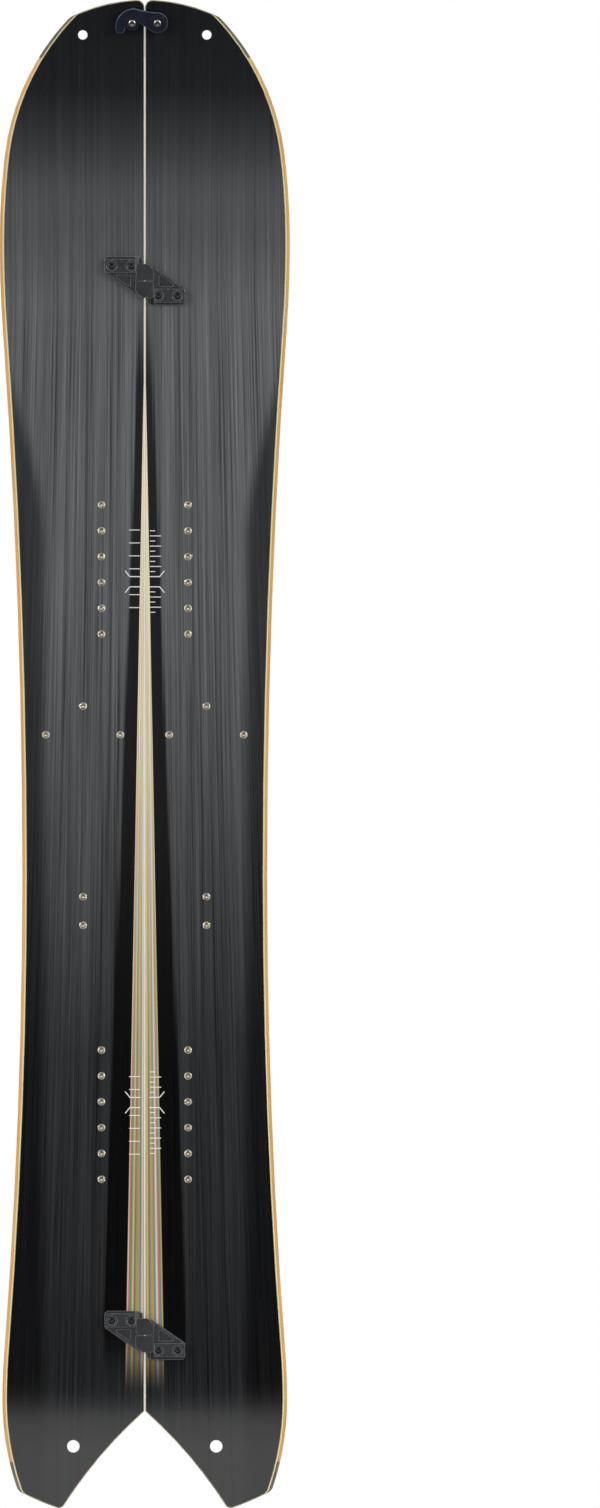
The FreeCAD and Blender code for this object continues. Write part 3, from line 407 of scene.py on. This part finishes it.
def base_material():
    """Black sintered base with a fan of coloured stripes on each side of the seam."""
    g = Graph("base_print")
    across = g.math("ABSOLUTE", g.x)
    share = g.span(g.z, BOARD_TOP, BOARD_FOOT, smooth=False)
    fine = g.noise((700, 0, 7), 3.0, 0.6)
    waver = g.multiply(g.subtract(g.noise((30, 0, 3)), 0.5), 3 * MM)
    speckle = g.span(g.noise((1500, 1500, 1500), 3.0, 0.7), 0.3, 0.7, 0.75, 1.3)
    ground = g.ramp(share, [
        (0.0, srgb(24, 24, 28)), (0.5, srgb(10, 10, 14)), (0.75, srgb(30, 30, 34)), (1.0, srgb(14, 14, 16)),
    ])
    ground = g.mix(1.0, ground, g.grey(speckle), "MULTIPLY")

    # the stripes lean in towards the seam as they run down the board, and crowd together outside
    lean = g.span(share, 0.2, 0.8, -10 * MM, 34 * MM, smooth=False)
    spread = g.span(share, 0.45, 0.8, 1.0, 1.45)
    stripe_place = g.add(g.multiply(g.subtract(g.add(across, waver), lean), spread), 22 * MM)
    turns = g.math("FRACT", g.add(g.math("DIVIDE", stripe_place, 104 * MM), 4.0))
    stripe = g.ramp(turns, stripe_stops(BASE_STRIPES + 1, 5, BASE_SHADE), "CONSTANT")
    grain = g.span(fine, 0.25, 0.75, 0.55, 1.15, smooth=False)
    stripe = g.mix(1.0, stripe, g.grey(grain), "MULTIPLY")

    # where they show: a soft band that starts at the seam and moves outward
    inner = g.span(share, 0.44, 0.66, -4 * MM, 34 * MM, smooth=False)
    inner = g.add(inner, g.span(share, 0.66, 0.88, 0.0, 62 * MM, smooth=False))
    outer = g.span(share, 0.06, 0.52, 14 * MM, 118 * MM)
    rise = g.span(g.subtract(across, inner), -8 * MM, 16 * MM)
    fall = g.span(g.subtract(across, outer), -16 * MM, 8 * MM, 1.0, 0.0)
    shown = g.multiply(g.multiply(rise, fall), g.span(share, 0.07, 0.17))
    shown = g.multiply(shown, g.span(share, 0.93, 0.8))
    strength = g.ramp(share, [(0.1, (0.3,) * 4), (0.2, (0.75,) * 4), (0.5, (0.85,) * 4), (0.85, (0.5,) * 4)])
    colour = g.mix(g.multiply(shown, strength), ground, stripe)

    bar_place = g.math("FRACT", g.math("DIVIDE", g.add(g.x, waver), 44 * MM))
    bars = g.ramp(bar_place, stripe_stops(WEDGE_STRIPES, 3), "CONSTANT")
    colour = g.mix(g.multiply(base_shapes(g), 0.92), colour, bars)
    scuff = g.span(g.noise((500, 0, 22), 3.0, 0.7), 0.66, 0.8)
    colour = g.mix(g.multiply(scuff, 0.15), colour, srgb(110, 110, 116))
    g.set(Base_Color=colour, Roughness=g.span(fine, 0.2, 0.8, 0.16, 0.27))
    g.set(Coat_Weight=0.1, Coat_Roughness=0.15)
    g.bump(g.noise((1800, 0, 120), 2.0, 0.6), 0.25, 0.05 * MM)
    return g.material


# ---------------------------------------------------------------- plain materials

def plastic(name, light, dark, scale, roughness, bump=0.1, coat=0.0):
    """Moulded or sawn plastic: two close tones, a fine grain and uneven gloss."""
    g = Graph(name)
    cloud = g.noise(scale, 3.0, 0.6)
    grain = g.noise((2200, 2200, 2200), 2.0, 0.6)
    colour = g.mix(g.span(cloud, 0.3, 0.7), light, dark)
    colour = g.mix(g.multiply(g.span(grain, 0.55, 0.8), 0.25), colour, dark)
    g.set(Base_Color=colour, Roughness=g.span(cloud, 0.3, 0.7, roughness - 0.06, roughness + 0.08))
    g.set(Coat_Weight=coat, Coat_Roughness=0.15)
    g.bump(g.add(grain, cloud), bump, 0.1 * MM)
    return g.material


def metal(name, light, dark, scale, roughness, bump=0.1):
    """Turned, ground or plated metal with fine lines and dull patches."""
    g = Graph(name)
    lines = g.noise(scale, 3.0, 0.7)
    patch = g.noise((140, 140, 140), 2.0, 0.5)
    colour = g.mix(g.span(lines, 0.3, 0.7), light, dark)
    colour = g.mix(g.multiply(g.span(patch, 0.5, 0.75), 0.35), colour, dark)
    g.set(Base_Color=colour, Metallic=1.0)
    g.set(Roughness=g.span(g.add(lines, patch), 0.6, 1.4, roughness - 0.07, roughness + 0.1))
    g.bump(lines, bump, 0.05 * MM)
    return g.material


def wood(name):
    """Laminated wood core with growth lines along the board."""
    g = Graph(name)
    rings = g.noise((240, 240, 4), 4.0, 0.6)
    strips = g.span(g.math("FRACT", g.math("DIVIDE", g.x, 17 * MM)), 0.0, 0.04, 0.75, 1.0)
    colour = g.mix(g.span(rings, 0.3, 0.7), srgb(214, 180, 128), srgb(170, 128, 80))
    colour = g.mix(1.0, colour, g.grey(strips), "MULTIPLY")
    g.set(Base_Color=colour, Roughness=g.span(rings, 0.3, 0.7, 0.5, 0.65))
    g.bump(rings, 0.2, 0.1 * MM)
    return g.material


def laminate(name, light, dark):
    """Resin-bonded fibre layer: fine crossed threads under resin."""
    g = Graph(name)
    warp = g.math("SINE", g.multiply(g.add(g.x, g.z), 4200))
    weft = g.math("SINE", g.multiply(g.subtract(g.x, g.z), 4200))
    weave = g.span(g.multiply(warp, weft), -0.6, 0.6)
    cloud = g.noise((90, 90, 14), 3.0, 0.6)
    colour = g.mix(g.add(g.multiply(weave, 0.35), g.multiply(cloud, 0.5)), light, dark)
    g.set(Base_Color=colour, Roughness=g.span(cloud, 0.3, 0.7, 0.3, 0.45))
    g.bump(weave, 0.08, 0.05 * MM)
    return g.material


def hook_plastic():
    """Smoky moulded plastic, opaque, with flow marks and rubbed patches."""
    g = Graph("hook_smoky_plastic")
    cloud = g.noise((60, 60, 60), 3.0, 0.6)
    grain = g.noise((1800, 1800, 1800), 2.0, 0.6)
    colour = g.mix(g.span(cloud, 0.3, 0.7), srgb(46, 48, 50), srgb(30, 31, 33))
    rubbed = g.span(g.noise((500, 500, 500), 3.0, 0.7), 0.62, 0.8)
    colour = g.mix(g.multiply(rubbed, 0.3), colour, srgb(92, 94, 96))
    g.set(Base_Color=colour, Roughness=g.span(cloud, 0.3, 0.7, 0.2, 0.32))
    g.set(Coat_Weight=0.5, Coat_Roughness=0.08)
    g.bump(g.add(grain, cloud), 0.06, 0.1 * MM)
    return g.material


def even(scale):
    """One noise scale for all three axes."""
    return (scale, scale, scale)


SAWN = (300, 300, 9)
MATERIALS = {
    "topsheet": topsheet_material(),
    "base": base_material(),
    "top_laminate": laminate("cream_laminate", srgb(240, 226, 178), srgb(214, 196, 146)),
    "bottom_laminate": laminate("glass_laminate", srgb(196, 196, 184), srgb(160, 160, 148)),
    "core": wood("wood_core"),
    "spacer": plastic("spacer_plastic", srgb(120, 110, 98), srgb(88, 80, 72), (200, 200, 30), 0.5, 0.15),
    "sidewall": plastic("ochre_sidewall", srgb(208, 160, 94), srgb(184, 138, 76), SAWN, 0.42, 0.12),
    "inner_sidewall": plastic("inner_sidewall", srgb(206, 202, 190), srgb(176, 172, 160), SAWN, 0.45, 0.12),
    "steel_edge": metal("ground_steel", srgb(208, 208, 210), srgb(160, 161, 165), (40, 40, 2600), 0.3, 0.2),
    "insert": metal("plated_insert", srgb(246, 240, 228), srgb(216, 208, 194), even(300), 0.3, 0.02),
    "hook": hook_plastic(),
    "screw": metal("plated_screw", srgb(214, 210, 208), srgb(160, 156, 156), even(1200), 0.25, 0.12),
    "nut": metal("plated_nut", srgb(150, 150, 152), srgb(96, 97, 100), even(1200), 0.4, 0.12),
    "lever": plastic("navy_lever", srgb(26, 31, 50), srgb(16, 19, 34), even(160), 0.3, 0.1, 0.3),
    # the lever's lighter rim colour, on its rounded edges and thumb ribs: a painted highlight
    "lever_rim": plastic("navy_lever_painted_highlight", srgb(84, 94, 124), srgb(50, 58, 88), even(160), 0.3, 0.1, 0.3),
    # the hooks' lighter rim colour on their rounded corners: a painted highlight
    "hook_rim": plastic("smoky_painted_highlight_rim", srgb(158, 160, 163), srgb(112, 114, 117), even(400), 0.3, 0.1, 0.3),
    "dark_screw": metal("black_oxide_screw", srgb(78, 79, 82), srgb(38, 39, 42), even(1200), 0.3, 0.12),
    "bush": plastic("black_bush", srgb(30, 31, 36), srgb(18, 19, 22), even(300), 0.4),
    "washer": plastic("dark_washer", srgb(28, 30, 40), srgb(16, 18, 26), even(300), 0.35),
    "post": plastic("navy_post", srgb(32, 38, 58), srgb(20, 24, 40), even(200), 0.35, 0.1, 0.2),
}

for node in nodes.values():
    for entry in node.material_slots:
        entry.material = MATERIALS[entry.material.name.split(".")[0]]


# ---------------------------------------------------------------- mesh helpers

def add_piece(name, mesh, slot, body, replaced=()):
    """Puts a finished mesh in the scene as a piece of the object."""
    piece = bpy.data.objects.new(name, mesh)
    bpy.context.scene.collection.objects.link(piece)
    mesh.materials.append(MATERIALS[slot])
    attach(piece, body)
    if replaced:
        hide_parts(*replaced)
    return piece


def finish_mesh(name, builder, sharp_angle=0.6):
    """A mesh from a bmesh, with outward faces and smooth shading up to an angle."""
    bmesh.ops.recalc_face_normals(builder, faces=builder.faces)
    for face in builder.faces:
        face.smooth = True
    for edge in builder.edges:
        edge.smooth = edge.calc_face_angle(0.0) < sharp_angle
    mesh = bpy.data.meshes.new(name)
    builder.to_mesh(mesh)
    builder.free()
    return mesh


def turn_profile(builder, profile, matrix, segments=48):
    """Turns (radius, height, corners) rings about the local Z axis. corners 6 gives a hexagon."""
    rings = []
    for radius, height, corners in profile:
        if radius == 0.0:
            rings.append([builder.verts.new(matrix @ Vector((0, 0, height)))])
            continue
        ring = []
        for step in range(segments):
            angle = math.tau * step / segments
            reach = radius
            if corners:
                sector = math.tau / corners
                reach = radius * math.cos(sector / 2) / math.cos(angle % sector - sector / 2)
            place = Vector((reach * math.cos(angle), reach * math.sin(angle), height))
            ring.append(builder.verts.new(matrix @ place))
        rings.append(ring)
    for low, high in zip(rings, rings[1:]):
        for step in range(segments):
            after = (step + 1) % segments
            face = [low[step % len(low)], low[after % len(low)]]
            face += [high[after % len(high)], high[step % len(high)]]
            builder.faces.new(list(dict.fromkeys(face)))


def facing(place, normal):
    """Local frame with its Z axis along a normal, at a place."""
    return Matrix.Translation(place) @ normal.to_track_quat("Z", "Y").to_matrix().to_4x4()


# ---------------------------------------------------------------- threaded inserts

def insert_profile(depth):
    """A flanged insert in section: flange, barrel, rolled lip, chamfer and thread."""
    rings = [(0.0, -depth, 0), (6.7 * MM, -depth, 0), (6.9 * MM, -depth + 0.2 * MM, 0)]
    rings += [(6.9 * MM, -depth + 0.9 * MM, 0), (3.8 * MM, -depth + 1.0 * MM, 0), (3.8 * MM, -0.35 * MM, 0)]
    for step in range(1, 7):
        angle = math.pi * step / 6
        rings.append(((3.45 + 0.35 * math.cos(angle)) * MM, (-0.35 + 0.33 * math.sin(angle)) * MM, 0))
    rings += [(2.95 * MM, -0.5 * MM, 0), (2.3 * MM, -1.3 * MM, 0)]
    thread_depth = 1.4
    while thread_depth < depth / MM - 1.9:
        rings += [(2.2 * MM, -(thread_depth + 0.25) * MM, 0), (2.5 * MM, -(thread_depth + 0.75) * MM, 0)]
        thread_depth += 1.0
    rings += [(2.1 * MM, -depth + 0.9 * MM, 0), (0.0, -depth + 0.7 * MM, 0)]
    return rings


def insert_places(node):
    """Centres of a group of inserts, from the group's box."""
    low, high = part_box(node)
    flange = 7 * MM
    left, right = low.x + flange, high.x - flange
    foot, head = low.z + flange, high.z - flange
    if "binding" in node:
        return [((left + right) / 2, foot + step * (head - foot) / 5) for step in range(6)]
    if "heel" in node:
        return [((left + right) / 2, foot), ((left + right) / 2, head)]
    return [(left, foot), (right, foot), ((left + right) / 2, head)]


def make_inserts():
    for side in SIDES:
        for group in ("front_binding", "rear_binding", "touring", "heel"):
            node = f"{side}_{group}_inserts"
            low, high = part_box(node)
            builder = bmesh.new()
            for x, z in insert_places(node):
                matrix = facing(Vector((x, low.y, z)), Vector((0, -1, 0)))
                turn_profile(builder, insert_profile(high.y - low.y), matrix)
            add_piece(f"{node}_turned", finish_mesh(node, builder, 0.9), "insert", f"{side}_half", [node])


# ---------------------------------------------------------------- screws

def screw_profile(head_radius, head_height, reach):
    """A pan-head screw in section, with a six-sided socket and a threaded shank."""
    shank = 2.0 * MM
    rings = [(0.0, -reach, 0), (shank * 0.7, -reach, 0)]
    depth = reach - 0.4 * MM
    while depth > 0.5 * MM:
        rings += [(shank, -depth, 0), (shank * 0.84, -depth + 0.35 * MM, 0)]
        depth -= 0.7 * MM
    rings += [(shank, 0.0, 0), (head_radius, 0.0, 0)]
    for step in range(8):
        angle = math.pi / 2 * step / 7
        dome = head_height * (0.35 + 0.65 * math.sin(angle))
        rings.append((head_radius * (0.62 + 0.38 * math.cos(angle)), dome, 0))
    rings += [(1.75 * MM, head_height, 0), (1.6 * MM, head_height - 0.12 * MM, 6)]
    rings += [(1.6 * MM, head_height - 1.4 * MM, 6), (0.0, head_height - 1.7 * MM, 0)]
    return rings


def head_top(node):
    """Middle of a clip screw's head, on its top."""
    low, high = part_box(node)
    lean_y = CLIP_HEAD_RADIUS * math.sin(CLIP_TILT)
    lean_z = CLIP_HEAD_RADIUS * math.cos(CLIP_TILT)
    return Vector(((low.x + high.x) / 2, low.y + lean_y, low.z + lean_z))


def make_screws():
    for side in SIDES:
        for pair in ("front", "rear"):
            node = f"{side}_{pair}_hook_screws"
            low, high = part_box(node)
            reach = high.y - low.y - SCREW_HEAD_HEIGHT
            profile = screw_profile(HOOK_HEAD_RADIUS, SCREW_HEAD_HEIGHT, reach)
            builder = bmesh.new()
            for x in (low.x + HOOK_HEAD_RADIUS, high.x - HOOK_HEAD_RADIUS):
                seat = Vector((x, low.y + SCREW_HEAD_HEIGHT, (low.z + high.z) / 2))
                turn_profile(builder, profile, facing(seat, Vector((0, -1, 0))))
            add_piece(f"{node}_threaded", finish_mesh(node, builder), "dark_screw", f"{side}_half", [node])
    for name, side in (("catch", "left"), ("pivot", "right")):
        node = f"clip_{name}_screw"
        builder = bmesh.new()
        profile = screw_profile(CLIP_HEAD_RADIUS, SCREW_HEAD_HEIGHT, CLIP_SCREW_REACH)
        seat = head_top(node) - CLIP_NORMAL * SCREW_HEAD_HEIGHT
        turn_profile(builder, profile, facing(seat, CLIP_NORMAL))
        add_piece(f"{node}_threaded", finish_mesh(node, builder), "screw", f"{side}_half", [node])


# ---------------------------------------------------------------- outer sidewalls

SIDEWALL_STATIONS = 150
OUTER_SIDE_START = 80 * MM
# the planed slope: shares of the way from the laminate out to the steel edge, each with
# its depth in mm below the sidewall's top
SIDEWALL_SLOPE = [(1.0, 3.2), (0.93, 2.75), (0.72, 2.2), (0.36, 1.0), (0.1, 0.2)]


def outer_edges(node):
    """A CAD node's edges beside the outer side, each as its two ends, lower end first."""
    mesh = nodes[node].data
    corners = [vertex.co.copy() for vertex in mesh.vertices]
    pairs = [sorted((corners[a], corners[b]), key=lambda corner: corner.z)
             for a, b in (edge.vertices for edge in mesh.edges)]
    return [(low, high) for low, high in pairs if high.z > low.z and abs(low.x) > OUTER_SIDE_START]


def crossings(edges, z):
    """Points where edges cross a height z."""
    return [low.lerp(high, (z - low.z) / (high.z - low.z)) for low, high in edges if low.z <= z <= high.z]


def make_sidewall(side, sign):
    """The outer sidewall with its upper edge planed to a slope, up to the laminate."""
    node = f"{side}_outer_sidewall"
    low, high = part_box(node)
    wall_edges = outer_edges(node)
    steel_edges = outer_edges(f"{side}_steel_edge")
    laminate_edges = outer_edges(f"{side}_top_laminate")
    builder = bmesh.new()
    sections = []
    for step in range(SIDEWALL_STATIONS + 1):
        z = low.z + 0.02 * MM + (high.z - low.z - 0.04 * MM) * step / SIDEWALL_STATIONS
        wall = crossings(wall_edges, z)
        outer = max(abs(p.x) for p in crossings(steel_edges, z))
        inner = min(abs(p.x) for p in wall)
        top = min(p.y for p in wall)
        foot = max(p.y for p in wall)
        rim = max(abs(p.x) for p in crossings(laminate_edges, z))
        rim = min(rim, outer - 0.2 * MM)
        section = [(inner, foot), (outer, foot)]
        section += [(rim + (outer - rim) * share, top + depth * MM) for share, depth in SIDEWALL_SLOPE]
        section += [(rim - 0.15 * MM, top), (inner, top)]
        sections.append([builder.verts.new((sign * x, y, z)) for x, y in section])
    for before, after in zip(sections, sections[1:]):
        for index in range(len(before)):
            follow = (index + 1) % len(before)
            builder.faces.new((before[index], before[follow], after[follow], after[index]))
    builder.faces.new(sections[0])
    builder.faces.new(sections[-1])
    add_piece(f"{node}_planed", finish_mesh(node, builder), "sidewall", f"{side}_half", [node])


# ---------------------------------------------------------------- softened CAD edges

def soften(node, width, rim=None):
    """Rounds a CAD node's sharp edges with modifiers. rim names the material of the rounded edges."""
    piece = nodes[node]
    weld = piece.modifiers.new("weld", "WELD")
    weld.merge_threshold = 0.002 * MM
    flatten = piece.modifiers.new("flatten", "DECIMATE")
    flatten.decimate_type = "DISSOLVE"
    flatten.angle_limit = math.radians(1)
    bevel = piece.modifiers.new("bevel", "BEVEL")
    bevel.width = width
    bevel.segments = 3
    bevel.limit_method = "ANGLE"
    bevel.angle_limit = math.radians(35)
    bevel.harden_normals = True
    if rim:
        piece.data.materials.append(MATERIALS[rim])
        bevel.material = len(piece.data.materials) - 1


HOOK_RIM_WIDTH = 0.25 * MM
HOOK_RIM_ANGLE = math.radians(35)
HOOK_SHARP_ANGLE = math.radians(17)


def is_hook_rim(edge):
    """True for the outward corners round a hook's raised faces."""
    faces = edge.link_faces
    if len(faces) != 2 or edge.calc_face_angle_signed(0.0) < HOOK_RIM_ANGLE:
        return False
    return min(faces[0].normal.y, faces[1].normal.y) < -0.95


def make_hook(node, body):
    """A CAD hook's shape with its raised faces' corners rounded and coloured lighter, a painted highlight.
    """
    builder = bmesh.new()
    builder.from_mesh(nodes[node].data)
    bmesh.ops.remove_doubles(builder, verts=builder.verts, dist=0.002 * MM)
    bmesh.ops.recalc_face_normals(builder, faces=builder.faces)
    bmesh.ops.dissolve_limit(builder, angle_limit=0.01, verts=builder.verts, edges=builder.edges)
    rims = [edge for edge in builder.edges if is_hook_rim(edge)]
    # the rounded corners take material 1, the lighter rim colour added below: a painted highlight
    bmesh.ops.bevel(builder, geom=rims, offset=HOOK_RIM_WIDTH, offset_type="WIDTH", segments=2,
                    profile=0.5, affect="EDGES", clamp_overlap=False, material=1)
    piece = add_piece(f"{node}_moulded", finish_mesh(node, builder, HOOK_SHARP_ANGLE), "hook", body, [node])
    piece.data.materials.append(MATERIALS["hook_rim"])


def make_thumb_ribs():
    """Rounded ribs across the lever's thumb edge."""
    pivot = head_top("clip_pivot_screw") - CLIP_NORMAL * CLIP_HEAD_TOP
    # middles of the first and last rib, across and up the nose in mm from the pivot
    start = (-15.2, 11.9)
    end = (-24.4, 14.0)
    count = 6
    low, high = 5.4 * MM, 8.8 * MM
    builder = bmesh.new()
    for step in range(count):
        share = step / (count - 1)
        place = pivot + Vector((1, 0, 0)) * (start[0] + (end[0] - start[0]) * share) * MM
        place += CLIP_UP * (start[1] + (end[1] - start[1]) * share) * MM
        radius = 0.75 * MM
        profile = [(0.0, low, 0), (radius * 0.6, low, 0), (radius, low + radius * 0.6, 0)]
        profile += [(radius, high - radius * 0.6, 0), (radius * 0.6, high, 0), (0.0, high, 0)]
        turn_profile(builder, profile, facing(place, CLIP_NORMAL), 16)
    # the ribs take the lighter rim colour: a painted highlight
    add_piece("clip_lever_thumb_ribs", finish_mesh("thumb_ribs", builder, 0.9), "lever_rim", "clip_lever")


make_inserts()
make_screws()
make_thumb_ribs()
for side_name, side_sign in SIDES.items():
    make_sidewall(side_name, side_sign)
    for pair_name in ("front", "rear"):
        make_hook(f"{side_name}_{pair_name}_hook", f"{side_name}_half")
# the lever's rounded edges take the lighter rim colour: a painted highlight
soften("clip_lever", 0.55 * MM, "lever_rim")
soften("clip_catch_post", 0.3 * MM)
soften("clip_pivot_bush", 0.2 * MM)
soften("clip_catch_washer", 0.25 * MM)
soften("clip_pivot_washer", 0.25 * MM)


# ---------------------------------------------------------------- studio

def make_floor():
    """A plain pale floor under the tail tips, which fades into the white surroundings."""
    builder = bmesh.new()
    bmesh.ops.create_grid(builder, x_segments=2, y_segments=2, size=6.0)
    for vertex in builder.verts:
        vertex.co.z = BOARD_FOOT - 0.2 * MM
    floor = bpy.data.objects.new("floor", finish_mesh("floor", builder))
    bpy.context.scene.collection.objects.link(floor)
    g = Graph("floor_paper")
    cloud = g.noise((3, 3, 3), 2.0, 0.5)
    g.set(Base_Color=g.mix(cloud, (0.86, 0.86, 0.86, 1), (0.82, 0.82, 0.82, 1)), Roughness=0.8)
    reach = g.math("SQRT", g.add(g.multiply(g.x, g.x), g.multiply(g.y, g.y)))
    g.set(Alpha=g.span(reach, 1.2, 4.5, 1.0, 0.0))
    floor.data.materials.append(g.material)
    floor.visible_glossy = False


def make_world():
    """White surroundings to the sides, dark before and behind the board, with two soft strips in each."""
    world = bpy.data.worlds.new("studio")
    bpy.context.scene.world = world
    world.use_nodes = True
    tree = world.node_tree
    tree.nodes.clear()

    def node(kind):
        return tree.nodes.new(kind)

    def link(source, target):
        tree.links.new(source, target)

    def span(value, low, high, to_low, to_high):
        entry = node("ShaderNodeMapRange")
        entry.interpolation_type = "SMOOTHSTEP"
        link(value, entry.inputs[0])
        for socket, number in zip(list(entry.inputs)[1:5], (low, high, to_low, to_high)):
            socket.default_value = number
        return entry.outputs[0]

    def combine(operation, first, second):
        entry = node("ShaderNodeMath")
        entry.operation = operation
        for socket, value in zip(entry.inputs, (first, second)):
            if isinstance(value, bpy.types.NodeSocket):
                link(value, socket)
            else:
                socket.default_value = value
        return entry.outputs[0]

    parts = node("ShaderNodeSeparateXYZ")
    link(node("ShaderNodeTexCoord").outputs["Generated"], parts.inputs[0])
    depth = combine("ABSOLUTE", parts.outputs[1], 0.0)
    rise = parts.outputs[2]
    sides = combine("MULTIPLY", span(depth, 0.45, 0.78, 0.85, 0.008), span(rise, -0.7, 0.3, 0.35, 1.0))
    facing_share = span(depth, 0.8, 0.9, 0.0, 1.0)
    upper = combine("MULTIPLY", span(rise, 0.05, 0.13, 0.0, 1.0), span(rise, 0.4, 0.5, 1.0, 0.0))
    lower = combine("MULTIPLY", span(rise, -0.2, -0.14, 0.0, 1.0), span(rise, -0.1, -0.05, 1.0, 0.0))
    strips = combine("ADD", combine("MULTIPLY", upper, 1.8), combine("MULTIPLY", lower, 0.8))
    light = combine("ADD", sides, combine("MULTIPLY", strips, facing_share))
    surround = node("ShaderNodeBackground")
    link(light, surround.inputs["Strength"])
    backdrop = node("ShaderNodeBackground")
    backdrop.inputs["Color"].default_value = (1, 1, 1, 1)
    chooser = node("ShaderNodeMixShader")
    link(node("ShaderNodeLightPath").outputs["Is Camera Ray"], chooser.inputs[0])
    link(surround.outputs[0], chooser.inputs[1])
    link(backdrop.outputs[0], chooser.inputs[2])
    output = node("ShaderNodeOutputWorld")
    link(chooser.outputs[0], output.inputs["Surface"])


def add_softbox(name, place, target, size, power):
    """A square studio light that faces a target."""
    light = bpy.data.lights.new(name, "AREA")
    light.shape = "RECTANGLE"
    light.size, light.size_y = size
    light.energy = power
    lamp = bpy.data.objects.new(name, light)
    bpy.context.scene.collection.objects.link(lamp)
    lamp.location = place
    lamp.rotation_euler = (Vector(target) - Vector(place)).to_track_quat("-Z", "Y").to_euler()
    lamp.visible_camera = False


def make_lights():
    """Two pairs of large softboxes, before and behind the board."""
    middle = (0, 0, (BOARD_TOP + BOARD_FOOT) / 2)
    for sign in (-1, 1):
        depth_name = "front" if sign < 0 else "back"
        for name, x in (("left", -5.5), ("right", 5.5)):
            add_softbox(f"softbox_{name}_{depth_name}", (x, sign * 4.5, 1.6), middle, (2.4, 3.2), 235)


FRAME_MIDDLE_X = 152.5 * MM


def make_camera():
    """Straight-on view of the topsheet without perspective; the board stands left of the middle."""
    camera_data = bpy.data.cameras.new("camera")
    camera_data.type = "ORTHO"
    camera_data.ortho_scale = BOARD_LENGTH
    camera = bpy.data.objects.new("camera", camera_data)
    bpy.context.scene.collection.objects.link(camera)
    camera.location = (FRAME_MIDDLE_X, -4.0, (BOARD_TOP + BOARD_FOOT) / 2)
    camera.rotation_euler = (math.pi / 2, 0, 0)
    camera_data.clip_end = 50
    bpy.context.scene.camera = camera


make_floor()
make_world()
make_lights()
make_camera()
bpy.context.scene.view_settings.view_transform = "Standard"
